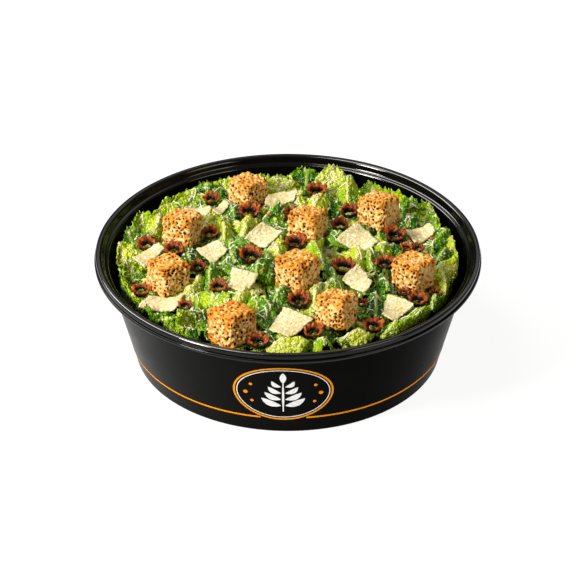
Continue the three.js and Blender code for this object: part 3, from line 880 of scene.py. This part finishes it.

# %% [markdown]
# The finish of a leaf drifts between two greens. Its veins have their own colour, paler than a dark leaf
# and greener than a pale one. Its hollows are painted darker as painted shade, and a cream dressing lies
# on it in patches of specks.


# %% Finish of the leaves
def romaine_finish(name, look):
    material, tree, shader = new_finish(name, Specular_IOR_Level=0.42)
    flat, veins, tone = (add(tree, "ShaderNodeUVMap", uv_map=each).outputs[0] for each in LEAF_MAPS)
    veins, tone = (add(tree, "ShaderNodeSeparateXYZ", {0: vector}) for vector in (veins, tone))
    drift = maths(tree, "MULTIPLY_ADD", tone.outputs[0], 0.3, noise(tree, flat, 1.2, 3))
    colour = mix_colour(tree, ramp(tree, drift, 0.5, 0.8), look["deep"], look["fresh"])
    colour = mix_colour(tree, maths(tree, "MULTIPLY", tone.outputs[1], 0.8), colour, look["edge"])
    blister = cells(tree, flat, BLISTERS_PER_CM, "DISTANCE_TO_EDGE", "2D")
    fine = cells(tree, flat, FINE_BLISTERS_PER_CM, "DISTANCE_TO_EDGE", "2D")
    slant = maths(tree, "ABSOLUTE", maths(tree, "SINE", maths(tree, "MULTIPLY", veins.outputs[0], math.pi)))
    # Painted shade: the hollows of both blister nets are darkened.
    hollow = maths(tree, "MAXIMUM", ramp(tree, blister, 0.14, 0.0), ramp(tree, fine, 0.1, 0.0))
    colour = mix_colour(tree, maths(tree, "MULTIPLY", hollow, 0.5), colour, look["hollow"])
    broken = ramp(tree, noise(tree, flat, 2.4, 2), 0.42, 0.58, 0.15, 1.0)
    line = maths(tree, "MULTIPLY", ramp(tree, slant, 0.2, 0.03), broken)
    colour = mix_colour(tree, maths(tree, "MULTIPLY", line, look["crease_share"]), colour, look["crease"])
    rib = ramp(tree, veins.outputs[1], 0.13, 0.03)
    colour = mix_colour(tree, maths(tree, "MULTIPLY", rib, 0.75), colour, look["rib"])
    cloudy = noise(tree, flat, 1.5, 4, 0.65)
    patch = ramp(tree, cloudy, 0.66 - look["dressing"], 0.76 - look["dressing"])
    speck = ramp(tree, noise(tree, flat, 7, 1, 0.4), 0.58, 0.61)
    sauce = maths(tree, "MULTIPLY", patch, speck)
    paint(tree, shader, mix_colour(tree, sauce, colour, linear(246, 248, 232)))
    tree.links.new(ramp(tree, sauce, 0, 1, 0.24, 0.2), shader.inputs["Roughness"])
    relief = maths(tree, "MULTIPLY_ADD", ramp(tree, fine, 0.0, 0.3), 0.8, ramp(tree, blister, 0.0, 0.35))
    relief = maths(tree, "MULTIPLY_ADD", sauce, 0.5, relief)
    bump(tree, shader, relief, 0.5)
    return material


# %% Lay the leaves
# The hollow colour of each kind is painted shade in the hollows of the blisters.
LEAF_LOOKS = {
    "dark": {
        "seed": 5, "dressing": 0.19, "crease_share": 0.4, "deep": linear(44, 112, 6),
        "fresh": linear(112, 176, 14), "edge": linear(140, 186, 12), "crease": linear(150, 196, 50),
        "rib": linear(206, 222, 110), "hollow": linear(14, 54, 2),
    },
    "bright": {
        "seed": 17, "dressing": 0.18, "crease_share": 0.5, "deep": linear(138, 190, 10),
        "fresh": linear(206, 224, 34), "edge": linear(170, 208, 10), "crease": linear(230, 238, 110),
        "rib": linear(240, 238, 150), "hollow": linear(70, 128, 4),
    },
    "pale": {
        "seed": 29, "dressing": 0.12, "crease_share": 0.65, "deep": linear(210, 222, 44),
        "fresh": linear(240, 240, 132), "edge": linear(178, 210, 12), "crease": linear(186, 196, 16),
        "rib": linear(248, 238, 190), "hollow": linear(166, 190, 16),
    },
}


def leaf_plan():
    """The leaves of each kind as (x, y, bearing, form): fillers in an even spiral, then those that show."""
    rng = np.random.default_rng(3)
    kinds = list(LEAF_LOOKS)
    plan = {kind: [] for kind in kinds}
    for i in range(FILLER_COUNT):
        r, angle = FILLER_REACH * math.sqrt((i + 0.5) / FILLER_COUNT), i * GOLDEN_ANGLE
        bearing = math.degrees(angle) + rng.uniform(-130, 130) * (1 - 0.6 * r / 80)
        plan[kinds[i % 3]].append((r * math.cos(angle), r * math.sin(angle), bearing, FILLER))
    return {kind: plan[kind] + SHOWN_LEAVES[kind] for kind in kinds}


def leaf_piece(kind, leaves, tree):
    look = LEAF_LOOKS[kind]
    rng, reach = np.random.default_rng(look["seed"]), np.random.default_rng(look["seed"] + 1)
    row = ACROSS_CELLS + 1
    corner = np.arange(ALONG_CELLS)[:, None] * row + np.arange(ACROSS_CELLS)[None, :]
    quads = np.stack([corner, corner + row, corner + row + 1, corner + 1], axis=-1).reshape(-1, 4)
    points, maps = [], {name: [] for name in LEAF_MAPS}
    for x, y, bearing, form in leaves:
        leaf, coordinates = leaf_points(rng, x, y, bearing, form)
        full = y < FULL_FRONT or abs(x) > FULL_SIDES
        points.append(settled(leaf, reach.uniform(*(FULL_REACH if full else SHORT_REACH))))
        for name, values in coordinates.items():
            maps[name].append(values)
    faces = np.concatenate([quads + i * len(points[0]) for i in range(len(points))])
    piece = mesh_piece(f"romaine_{kind}", np.concatenate(points), faces)
    for name, values in maps.items():
        layer = piece.data.uv_layers.new(name=name)
        layer.data.foreach_set("uv", np.concatenate(values)[faces.ravel()].astype(np.float32).ravel())
    with_tree(piece, tree, romaine_finish(f"romaine {kind}", look))
    sheet = piece.modifiers.new("sheet", "SOLIDIFY")
    sheet.thickness = LEAF_SHEET * MM
    sheet.offset = 0
    shaped(piece)
    stand_for(piece, "romaine", "romaine")
    print(piece.name, len(leaves), "leaves,", len(piece.data.polygons), "faces")
    return piece


LEAF_PIECES = [leaf_piece(kind, leaves, CRINKLE) for kind, leaves in leaf_plan().items()]

# %% [markdown]
# ## Croutons
#
# A crouton is a cube of bread, dried and browned. Its faces are a crust of small knobs with a pore every
# millimetre and a half or so, and its edges and its top take the most colour. The piece starts as a copy
# of its solid. A voxel remesh gives it even faces, and Geometry Nodes then rounds it, raises the knobs,
# and sinks a pore at each of a set of evenly scattered points. How brown each point is goes along as an
# attribute.


# %% Carve the croutons
def rounded(tree, geometry, passes):
    """The geometry smoothed by blurring its points' places."""
    place = add(tree, "GeometryNodeInputPosition").outputs[0]
    blur = add(tree, "GeometryNodeBlurAttribute", {"Iterations": passes}, data_type="FLOAT_VECTOR")
    tree.links.new(place, [s for s in blur.inputs if s.type == "VECTOR"][0])
    soft = [s for s in blur.outputs if s.type == "VECTOR"][0]
    return add(tree, "GeometryNodeSetPosition", {"Geometry": geometry, "Position": soft}).outputs[0]


def stored(tree, geometry, **values):
    """The geometry with each value kept as a named attribute of its points."""
    for name, value in values.items():
        inputs = {"Geometry": geometry, "Name": name, "Value": value}
        kept = add(tree, "GeometryNodeStoreNamedAttribute", inputs, data_type="FLOAT", domain="POINT")
        geometry = kept.outputs[0]
    return geometry


KNOBS_PER_METRE = 640
CRUST_VOXEL = 0.41
CROUTON_HALF = 7.6  # half an edge


def crumb_tree():
    sizes = {"Pore Spacing": 1.55 * MM, "Pore Radius": 0.74 * MM, "Pore Depth": 1.2 * MM,
             "Knob Height": 1.7 * MM, "Seed": 1}
    tree, given = new_tree("Crumb", sizes)
    smooth = rounded(tree, given["Geometry"], 2)
    place = add(tree, "GeometryNodeInputPosition").outputs[0]
    inputs = {"Mesh": smooth, "Distance Min": given["Pore Spacing"], "Seed": given["Seed"]}
    inputs["Density Max"] = 9e5
    scatter = add(tree, "GeometryNodeDistributePointsOnFaces", inputs, distribute_method="POISSON")
    sway = vectors(tree, "SUBTRACT", noise(tree, place, 620, 1, output=1), (0.5, 0.5, 0.5))
    swayed = vectors(tree, "MULTIPLY_ADD", sway, (1.8 * MM, 1.8 * MM, 2.6 * MM), place)
    inputs = {0: scatter.outputs["Points"], "Source Position": swayed}
    near = add(tree, "GeometryNodeProximity", inputs, target_element="POINTS")
    size = ramp(tree, noise(tree, place, 260, 1), 0.3, 0.7, 0.6, 1.25)
    radius = maths(tree, "MULTIPLY", given["Pore Radius"], size)
    share = maths(tree, "DIVIDE", near.outputs["Distance"], radius)
    pore = ramp(tree, share, 1.0, 0.4)
    # the ring round each pore, kept for painted shade
    halo = ramp(tree, share, 1.9, 0.7)
    knobs = maths(tree, "SUBTRACT", 0.5, cells(tree, place, KNOBS_PER_METRE, "SMOOTH_F1"))
    lumps = maths(tree, "SUBTRACT", noise(tree, place, 190, 2), 0.5)
    height = maths(tree, "MULTIPLY", knobs, given["Knob Height"])
    height = maths(tree, "MULTIPLY_ADD", lumps, 2.2 * MM, height)
    height = maths(tree, "SUBTRACT", height, maths(tree, "MULTIPLY", pore, given["Pore Depth"]))
    marked = stored(tree, smooth, pore=pore, knob=knobs, halo=halo)
    end_tree(tree, push(tree, marked, height), given["Finish"])
    return tree


def crumb_finish():
    """Toasted bread: cream faces, orange-brown top and edges, and painted shade in and round the pores."""
    material, tree, shader = new_finish("crouton crust", Roughness=0.6, Specular_IOR_Level=0.35)
    place = object_place(tree)
    pore, toast, knob, halo = (attribute(tree, name) for name in ("pore", "toast", "knob", "halo"))
    patch = noise(tree, place, 330, 4, 0.65)
    fine = noise(tree, place, 1500, 3, 0.6)
    brown = maths(tree, "MULTIPLY_ADD", maths(tree, "SUBTRACT", patch, 0.5), 1.1, toast)
    brown = maths(tree, "MULTIPLY_ADD", maths(tree, "SUBTRACT", fine, 0.5), 0.5, brown)
    # Painted shade: browner between the knobs and round each pore.
    brown = maths(tree, "MULTIPLY_ADD", ramp(tree, knob, 0.2, -0.05), 0.6, brown)
    brown = maths(tree, "MULTIPLY_ADD", halo, 0.4, brown)
    colour = mix_colour(tree, ramp(tree, brown, 0.1, 1.0), linear(252, 218, 148), linear(228, 148, 42))
    colour = mix_colour(tree, ramp(tree, brown, 0.95, 1.7), colour, linear(174, 90, 14))
    # Painted shade: the pores are painted dark.
    paint(tree, shader, mix_colour(tree, ramp(tree, pore, 0.12, 0.55), colour, linear(52, 24, 6)))
    bump(tree, shader, fine, 0.4)
    return material


def toast_of(piece, half):
    """How browned each point is: 1 on an outer edge or corner, more on the top than on the sides."""
    mesh = piece.data
    count = len(mesh.vertices)
    points = np.empty(3 * count)
    mesh.vertices.foreach_get("co", points)
    points = points.reshape(-1, 3)
    centre = (points.max(axis=0) + points.min(axis=0)) / 2
    away = np.linalg.norm(points - centre, axis=1) / (half * MM)
    up = (points[:, 2] - centre[2]) / (half * MM)
    toast = np.clip((away - 1.2) / 0.4, 0, 1) * 0.5 + np.clip(up - 0.35, 0, 1) * 0.4
    layer = mesh.attributes.new("toast", "FLOAT", "POINT")
    layer.data.foreach_set("value", toast.astype(np.float32))


CRUMB = crumb_tree()
CRUST = crumb_finish()
for number, node in enumerate(CROUTONS):
    crouton = even_copy(node, "_crust", CRUST_VOXEL)
    with_tree(crouton, CRUMB, CRUST, Seed=number + 1)
    shaped(crouton)
    toast_of(crouton, CROUTON_HALF)
    stand_for(crouton, "crouton", node)
print(len(CROUTONS), "croutons,", len(crouton.data.polygons), "faces on the last")

# %% [markdown]
# ## Cheese shavings
#
# A shaving of hard cheese is a thin sheet with torn edges and a grainy face. It starts as a copy of its
# solid too. After the remesh, a noise that moves points sideways tears the edges, and a finer one makes
# the grain.


# %% Tear the shavings
SHEET_VOXEL = 0.37


def tear_tree():
    sizes = {"Tear Width": 2.4 * MM, "Grain Height": 0.2 * MM, "Rounding": 1}
    tree, given = new_tree("Tear", sizes)
    smooth = rounded(tree, given["Geometry"], given["Rounding"])
    place = add(tree, "GeometryNodeInputPosition").outputs[0]
    wide = noise(tree, place, 800, 3, 0.7, output=1)
    sideways = vectors(tree, "SUBTRACT", wide, (0.5, 0.5, 0.5))
    flat = vectors(tree, "MULTIPLY", sideways, (1, 1, 0.12))
    torn = moved(tree, smooth, vectors(tree, "SCALE", flat, scale=given["Tear Width"]))
    grain = maths(tree, "SUBTRACT", noise(tree, place, 1400, 3), 0.5)
    grainy = push(tree, torn, maths(tree, "MULTIPLY", grain, given["Grain Height"]))
    end_tree(tree, grainy, given["Finish"])
    return tree


def cheese_finish():
    """Hard cheese: pale cream, with lighter grains and a slight translucency."""
    material, tree, shader = new_finish("hard cheese", Roughness=0.5, Specular_IOR_Level=0.35,
                                        Subsurface_Weight=0.15, Subsurface_Scale=0.002)
    place = object_place(tree)
    drift = noise(tree, place, 160, 3)
    grain = noise(tree, place, 850, 3, 0.6)
    share = ramp(tree, drift, 0.35, 0.65)
    colour = mix_colour(tree, share, linear(210, 194, 136), linear(224, 210, 164))
    colour = mix_colour(tree, ramp(tree, grain, 0.55, 0.61), colour, linear(246, 240, 220))
    paint(tree, shader, mix_colour(tree, ramp(tree, grain, 0.42, 0.34), colour, linear(200, 178, 116)))
    bump(tree, shader, grain, 0.22)
    return material


TEAR = tear_tree()
CHEESE = cheese_finish()
for node in SHAVINGS:
    shaving = even_copy(node, "_sheet", SHEET_VOXEL)
    with_tree(shaving, TEAR, CHEESE)
    shaped(shaving)
    stand_for(shaving, "cheese", node)
print(len(SHAVINGS), "shavings,", len(shaving.data.polygons), "faces on the last")

# %% [markdown]
# ## Bacon curls
#
# Thin bacon shrinks as it crisps and curls into a ring whose rim opens in ragged petals. The copy of
# each solid is remeshed. A wave round its axis, swayed by noise so that no two petals are alike, makes
# the lobes, lifts them and leans them out. A finer noise adds the blisters of the fat.


# %% Crisp the bacon
CURL_VOXEL = 0.32
BASE_LOBES, MM_PER_LOBE = 5.0, 3  # five lobes, and one more for every 3 mm of the curl's width
RIM_BAND = 0.5  # the rim starts this far under the curl's middle


def crisp_tree():
    sizes = {"Centre X": 0.0, "Centre Y": 0.0, "Lobes": 8.0, "Turn": 0.0, "Lobe Height": 0.45 * MM,
             "Blister Height": 1.1 * MM, "Rim Rise": 1.8 * MM, "Rim Flare": 0.85 * MM,
             "Ragged Height": 3.2 * MM, "Base": 0.05, "Top": 0.06}
    tree, given = new_tree("Crisp", sizes)
    smooth = rounded(tree, given["Geometry"], 1)
    place = add(tree, "GeometryNodeInputPosition").outputs[0]
    apart = add(tree, "ShaderNodeSeparateXYZ", {0: place})
    across = maths(tree, "SUBTRACT", apart.outputs[0], given["Centre X"])
    ahead = maths(tree, "SUBTRACT", apart.outputs[1], given["Centre Y"])
    angle = maths(tree, "ARCTAN2", ahead, across)
    sway = maths(tree, "MULTIPLY", noise(tree, place, 210, 2), 7.5)
    swing = maths(tree, "MULTIPLY_ADD", angle, maths(tree, "MULTIPLY", given["Lobes"], 0.5), given["Turn"])
    swing = maths(tree, "ADD", swing, sway)
    lobe = maths(tree, "POWER", maths(tree, "ABSOLUTE", maths(tree, "SINE", swing)), 0.7)
    rim = ramp(tree, apart.outputs[2], given["Base"], given["Top"])
    blisters = maths(tree, "SUBTRACT", noise(tree, place, 900, 4, 0.7), 0.5)
    ragged = maths(tree, "SUBTRACT", noise(tree, place, 900, 4, 0.75), 0.5)
    height = maths(tree, "MULTIPLY", maths(tree, "SUBTRACT", lobe, 0.65), given["Lobe Height"])
    height = maths(tree, "MULTIPLY_ADD", blisters, given["Blister Height"], height)
    most = maths(tree, "MULTIPLY", rim, given["Rim Rise"])
    rise = maths(tree, "MULTIPLY", maths(tree, "SUBTRACT", lobe, 0.7), most)
    rise = maths(tree, "MULTIPLY_ADD", maths(tree, "MULTIPLY", ragged, rim), given["Ragged Height"], rise)
    upward = add(tree, "ShaderNodeCombineXYZ", {2: rise}).outputs[0]
    spoke = vectors(tree, "NORMALIZE", add(tree, "ShaderNodeCombineXYZ", {0: across, 1: ahead}).outputs[0])
    flare = maths(tree, "MULTIPLY", maths(tree, "MULTIPLY", rim, lobe), given["Rim Flare"])
    opened = vectors(tree, "MULTIPLY_ADD", spoke, flare, upward)
    marked = stored(tree, smooth, rim=rim, lobe=lobe, blister=blisters)
    end_tree(tree, moved(tree, push(tree, marked, height), opened), given["Finish"])
    return tree


def bacon_finish():
    """Crisp bacon: dark red-brown lean, a gloss of fat, painted light and shade and painted highlights."""
    material, tree, shader = new_finish("crisp bacon", Roughness=0.4, Specular_IOR_Level=0.3)
    place = object_place(tree)
    rim, blister, lobe = (attribute(tree, name) for name in ("rim", "blister", "lobe"))
    # Painted light and shade: lighter on the crests and high on the rim, darker in the troughs and low
    # down.
    crest, height = ramp(tree, lobe, 0.2, 0.9, 0.45, 1.0), ramp(tree, rim, 0.0, 0.8, 0.3, 1.0)
    lit = maths(tree, "MULTIPLY", crest, height)
    drift = maths(tree, "SUBTRACT", noise(tree, place, 420, 4, 0.6), 0.5)
    streak = maths(tree, "MULTIPLY_ADD", drift, 0.9, lit)
    colour = mix_colour(tree, ramp(tree, streak, 0.25, 0.85), linear(26, 9, 2), linear(140, 60, 12))
    # Painted highlights: orange on the blisters high on the rim.
    high = maths(tree, "MULTIPLY", ramp(tree, blister, -0.02, 0.16), ramp(tree, rim, 0.4, 0.9))
    paint(tree, shader, mix_colour(tree, high, colour, linear(224, 122, 42)))
    bump(tree, shader, noise(tree, place, 1500, 3), 0.25)
    return material


CRISP = crisp_tree()
BACON = bacon_finish()
for number, node in enumerate(CURLS):
    curl = even_copy(node, "_curl", CURL_VOXEL)
    low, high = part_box(node)
    middle = [float(low[i] + high[i]) / 2 for i in range(3)]
    lobes = BASE_LOBES + round((high[0] - low[0]) / MM / MM_PER_LOBE)
    with_tree(curl, CRISP, BACON, Centre_X=middle[0], Centre_Y=middle[1], Lobes=lobes, Turn=float(number),
              Base=middle[2] - RIM_BAND * MM, Top=float(high[2]))
    shaped(curl)
    stand_for(curl, "bacon", node)
print(len(CURLS), "curls,", len(curl.data.polygons), "faces on the last")

# %% [markdown]
# ## Grated cheese, dressing and crumbs
#
# Fine threads of grated cheese, drops of dressing and crumbs of bacon lie over the leaves. A simulation
# could let them fall, but for such small things it is enough to know where the leaves are highest. A ray
# dropped from above finds that, and also tells where a topping is in the way.


# %% Find the top of the leaves
def top_of(pieces):
    """A search tree over the pieces, for rays dropped from above, in metres."""
    points, faces = [], []
    for piece in pieces:
        start = len(points)
        points += [v.co for v in piece.data.vertices]
        faces += [[start + i for i in p.vertices] for p in piece.data.polygons]
    return BVHTree.FromPolygons(points, faces)


LEAF_TOP = top_of(LEAF_PIECES)
TOPPING_TOP = top_of([o for o in bpy.data.objects if o.name.endswith(("_crust", "_sheet", "_curl"))])
DEEPEST = 43  # nothing is laid below this height
CLEAR = 2  # nor where a topping is above the leaf, or less than this far under it


def drop_at(x, y):
    """Where a drop from above lands on the leaves, or None if a topping catches it."""
    start, down = Vector((x * MM, y * MM, 0.1)), Vector((0, 0, -1))
    leaf, topping = LEAF_TOP.ray_cast(start, down)[0], TOPPING_TOP.ray_cast(start, down)[0]
    if leaf is None or leaf.z < DEEPEST * MM or (topping is not None and topping.z > leaf.z - CLEAR * MM):
        return None
    return leaf / MM


print("rays can find the top of", len(LEAF_PIECES), "leaf pieces")

# %% [markdown]
# A thread of grated cheese is a fine string that bends a little and dips only slightly between the
# leaves. A curve with a round bevel would need the same row of points, so each thread is a thin tube made
# straight from points on the leaves, tapered to its ends.


# %% Lay the threads
THREAD_COUNT, THREAD_REACH = 240, 77


def thread_path(rng):
    """The points of one thread over the leaves, or None where it would hang or be caught."""
    angle, r = rng.uniform(0, 2 * math.pi), THREAD_REACH * math.sqrt(rng.uniform(0, 1))
    heading, curl = rng.uniform(0, 2 * math.pi), rng.uniform(-0.14, 0.14)
    length = rng.uniform(2.5, 6.5)
    x, y = r * math.cos(angle), r * math.sin(angle)
    path = []
    for _ in range(7):
        place = drop_at(x, y)
        if place is None:
            return None
        path.append(place)
        heading += curl
        x, y = x + length / 6 * math.cos(heading), y + length / 6 * math.sin(heading)
    path = np.array(path)
    z = path[:, 2].copy()
    for _ in range(3):
        z[1:-1] = np.maximum(z[1:-1], (z[:-2] + z[2:]) / 2 - 0.1)
    if z.max() - z.min() > 4.5:
        return None
    path[:, 2] = z + 0.15
    return path


def tube(path, radius, sides=5):
    """Rings round a path, tapered to its ends."""
    rings, count = [], len(path)
    for i, centre in enumerate(path):
        along = path[min(i + 1, count - 1)] - path[max(i - 1, 0)]
        across = np.cross(along, (0, 0, 1.0))
        across /= max(np.linalg.norm(across), 1e-6)
        up = np.cross(across, along)
        up /= max(np.linalg.norm(up), 1e-6)
        size = radius * (0.45 if i in (0, count - 1) else 1.0)
        for k in range(sides):
            turn = 2 * math.pi * k / sides
            rings.append(centre + size * (across * math.cos(turn) + up * math.sin(turn)))
    faces = []
    for i in range(count - 1):
        for k in range(sides):
            a, b = i * sides + k, i * sides + (k + 1) % sides
            faces.append((a, a + sides, b + sides, b))
    faces.append(tuple(range(sides)))
    faces.append(tuple(range((count - 1) * sides, count * sides))[::-1])
    return rings, faces


def lay_threads(count, seed):
    """Threads of grated cheese, whiter than the shavings."""
    rng = np.random.default_rng(seed)
    points, faces = [], []
    laid = 0
    while laid < count:
        path = thread_path(rng)
        if path is None:
            continue
        rings, quads = tube(path, rng.uniform(0.2, 0.34))
        faces += [tuple(i + len(points) for i in quad) for quad in quads]
        points += rings
        laid += 1
    threads = mesh_piece("cheese_threads", points, faces)
    whites = linear(226, 222, 190), linear(250, 248, 234)
    finish = mottled("grated cheese", 500, 2, *whites, Roughness=0.5, Specular_IOR_Level=0.3)
    threads.data.materials.append(finish)
    stand_for(threads, "cheese", "romaine")
    return threads


threads = lay_threads(THREAD_COUNT, 8)
print(threads.name, len(threads.data.polygons), "faces")

# %% [markdown]
# Dressing clings in small drops, more of them in some patches than in others, and bacon sheds a few
# crumbs. Both repeat one small body many times, so Geometry Nodes set a faceted ball on every point of a
# cloud. It is flattened for a drop, and turned, stretched and roughened for a crumb.


# %% Scatter the drops and the crumbs
DROP_COUNT, DROP_REACH, DROP_EDGE = 1300, 78, 79
CRUMB_COUNT, CRUMB_REACH = 60, 74
DRESSED_PATCHES, PATCH_SPREAD = 90, 4.5


def on_points(tree, given, ball, scale, **turn):
    """The ball set on every point of the cloud that the tree is given."""
    cloud = add(tree, "GeometryNodeMeshToPoints", {"Mesh": given["Geometry"]}).outputs[0]
    inputs = {"Points": cloud, "Instance": ball, "Scale": scale, **turn}
    return add(tree, "GeometryNodeInstanceOnPoints", inputs).outputs[0]


def drops_tree():
    """Flat round drops, most of them small."""
    tree, given = new_tree("Drops", {"Smallest": 0.22 * MM, "Largest": 0.75 * MM, "Seed": 4})
    ball = add(tree, "GeometryNodeMeshIcoSphere", {"Radius": 1.0, "Subdivisions": 1}).outputs[0]
    size = add(tree, "FunctionNodeRandomValue", {"Min": 0.0, "Max": 1.0, "Seed": given["Seed"]})
    skewed = maths(tree, "POWER", size.outputs[1], 2.5)
    inputs = {"Value": skewed, "To Min": given["Smallest"], "To Max": given["Largest"]}
    radius = add(tree, "ShaderNodeMapRange", inputs).outputs["Result"]
    low = maths(tree, "MULTIPLY", radius, 0.6)
    flat = add(tree, "ShaderNodeCombineXYZ", {0: radius, 1: radius, 2: low}).outputs[0]
    end_tree(tree, on_points(tree, given, ball, flat), given["Finish"])
    return tree


def crumbs_tree():
    """Small lumps, each turned and sized at random and roughened by noise."""
    tree, given = new_tree("Crumbs", {"Smallest": 0.45 * MM, "Largest": 1.25 * MM, "Seed": 2})
    ball = add(tree, "GeometryNodeMeshIcoSphere", {"Radius": 1.0, "Subdivisions": 2}).outputs[0]
    inputs = {0: (0.0, 0.0, 0.0), 1: (3.0, 3.0, 6.0), "Seed": given["Seed"]}
    spin = add(tree, "FunctionNodeRandomValue", inputs, data_type="FLOAT_VECTOR").outputs[0]
    inputs = {2: given["Smallest"], 3: given["Largest"], "Seed": given["Seed"]}
    size = add(tree, "FunctionNodeRandomValue", inputs).outputs[1]
    uneven = vectors(tree, "SCALE", (1.3, 0.9, 0.65), scale=size)
    lump = on_points(tree, given, ball, uneven, Rotation=spin)
    real = add(tree, "GeometryNodeRealizeInstances", {0: lump}).outputs[0]
    place = add(tree, "GeometryNodeInputPosition").outputs[0]
    rough = maths(tree, "SUBTRACT", noise(tree, place, 700, 3, 0.6), 0.5)
    end_tree(tree, push(tree, real, maths(tree, "MULTIPLY", rough, 1.1 * MM)), given["Finish"])
    return tree


def gathered(count, draw_place):
    """The first places, out of those that draw_place proposes, where something can lie."""
    places = []
    while len(places) < count:
        place = draw_place()
        if place is not None:
            places.append(place)
    return places


def scattered(name, places, tree, finish, slot):
    """One piece with the tree's small body on each place."""
    piece = mesh_piece(name, places, [])
    with_tree(piece, tree, finish)
    shaped(piece)
    piece.data.polygons.foreach_set("use_smooth", [True] * len(piece.data.polygons))
    stand_for(piece, slot, "romaine")
    return piece


def lay_drops(count, seed):
    """Drops of dressing, thicker in some patches than in others."""
    rng = np.random.default_rng(seed)
    middles = DROP_REACH * np.sqrt(rng.uniform(0, 1, DRESSED_PATCHES))
    turns = rng.uniform(0, 2 * math.pi, DRESSED_PATCHES)

    def draw_place():
        pick = rng.integers(0, DRESSED_PATCHES)
        x = middles[pick] * math.cos(turns[pick]) + rng.normal(0, PATCH_SPREAD)
        y = middles[pick] * math.sin(turns[pick]) + rng.normal(0, PATCH_SPREAD)
        return drop_at(x, y) if math.hypot(x, y) < DROP_EDGE else None

    creams = linear(226, 228, 204), linear(250, 248, 236)
    finish = mottled("dressing", 400, 2, *creams, Roughness=0.25, Specular_IOR_Level=0.5)
    return scattered("dressing_drops", gathered(count, draw_place), drops_tree(), finish, "cheese")


def lay_crumbs(count, seed):
    """Crumbs broken off the bacon, pinker than the curls because they are cut through."""
    rng = np.random.default_rng(seed)

    def draw_place():
        angle, r = rng.uniform(0, 2 * math.pi), CRUMB_REACH * math.sqrt(rng.uniform(0, 1))
        return drop_at(r * math.cos(angle), r * math.sin(angle))

    pinks = linear(104, 38, 16), linear(206, 126, 88)
    finish = mottled("bacon crumb", 700, 3, *pinks, (0.35, 0.65), Roughness=0.45, Specular_IOR_Level=0.3)
    return scattered("bacon_crumbs", gathered(count, draw_place), crumbs_tree(), finish, "bacon")


for piece in (lay_drops(DROP_COUNT, 9), lay_crumbs(CRUMB_COUNT, 12)):
    print(piece.name, len(piece.data.polygons), "faces")

# %% [markdown]
# ## Close the lesson
#

# %% Finish
import json
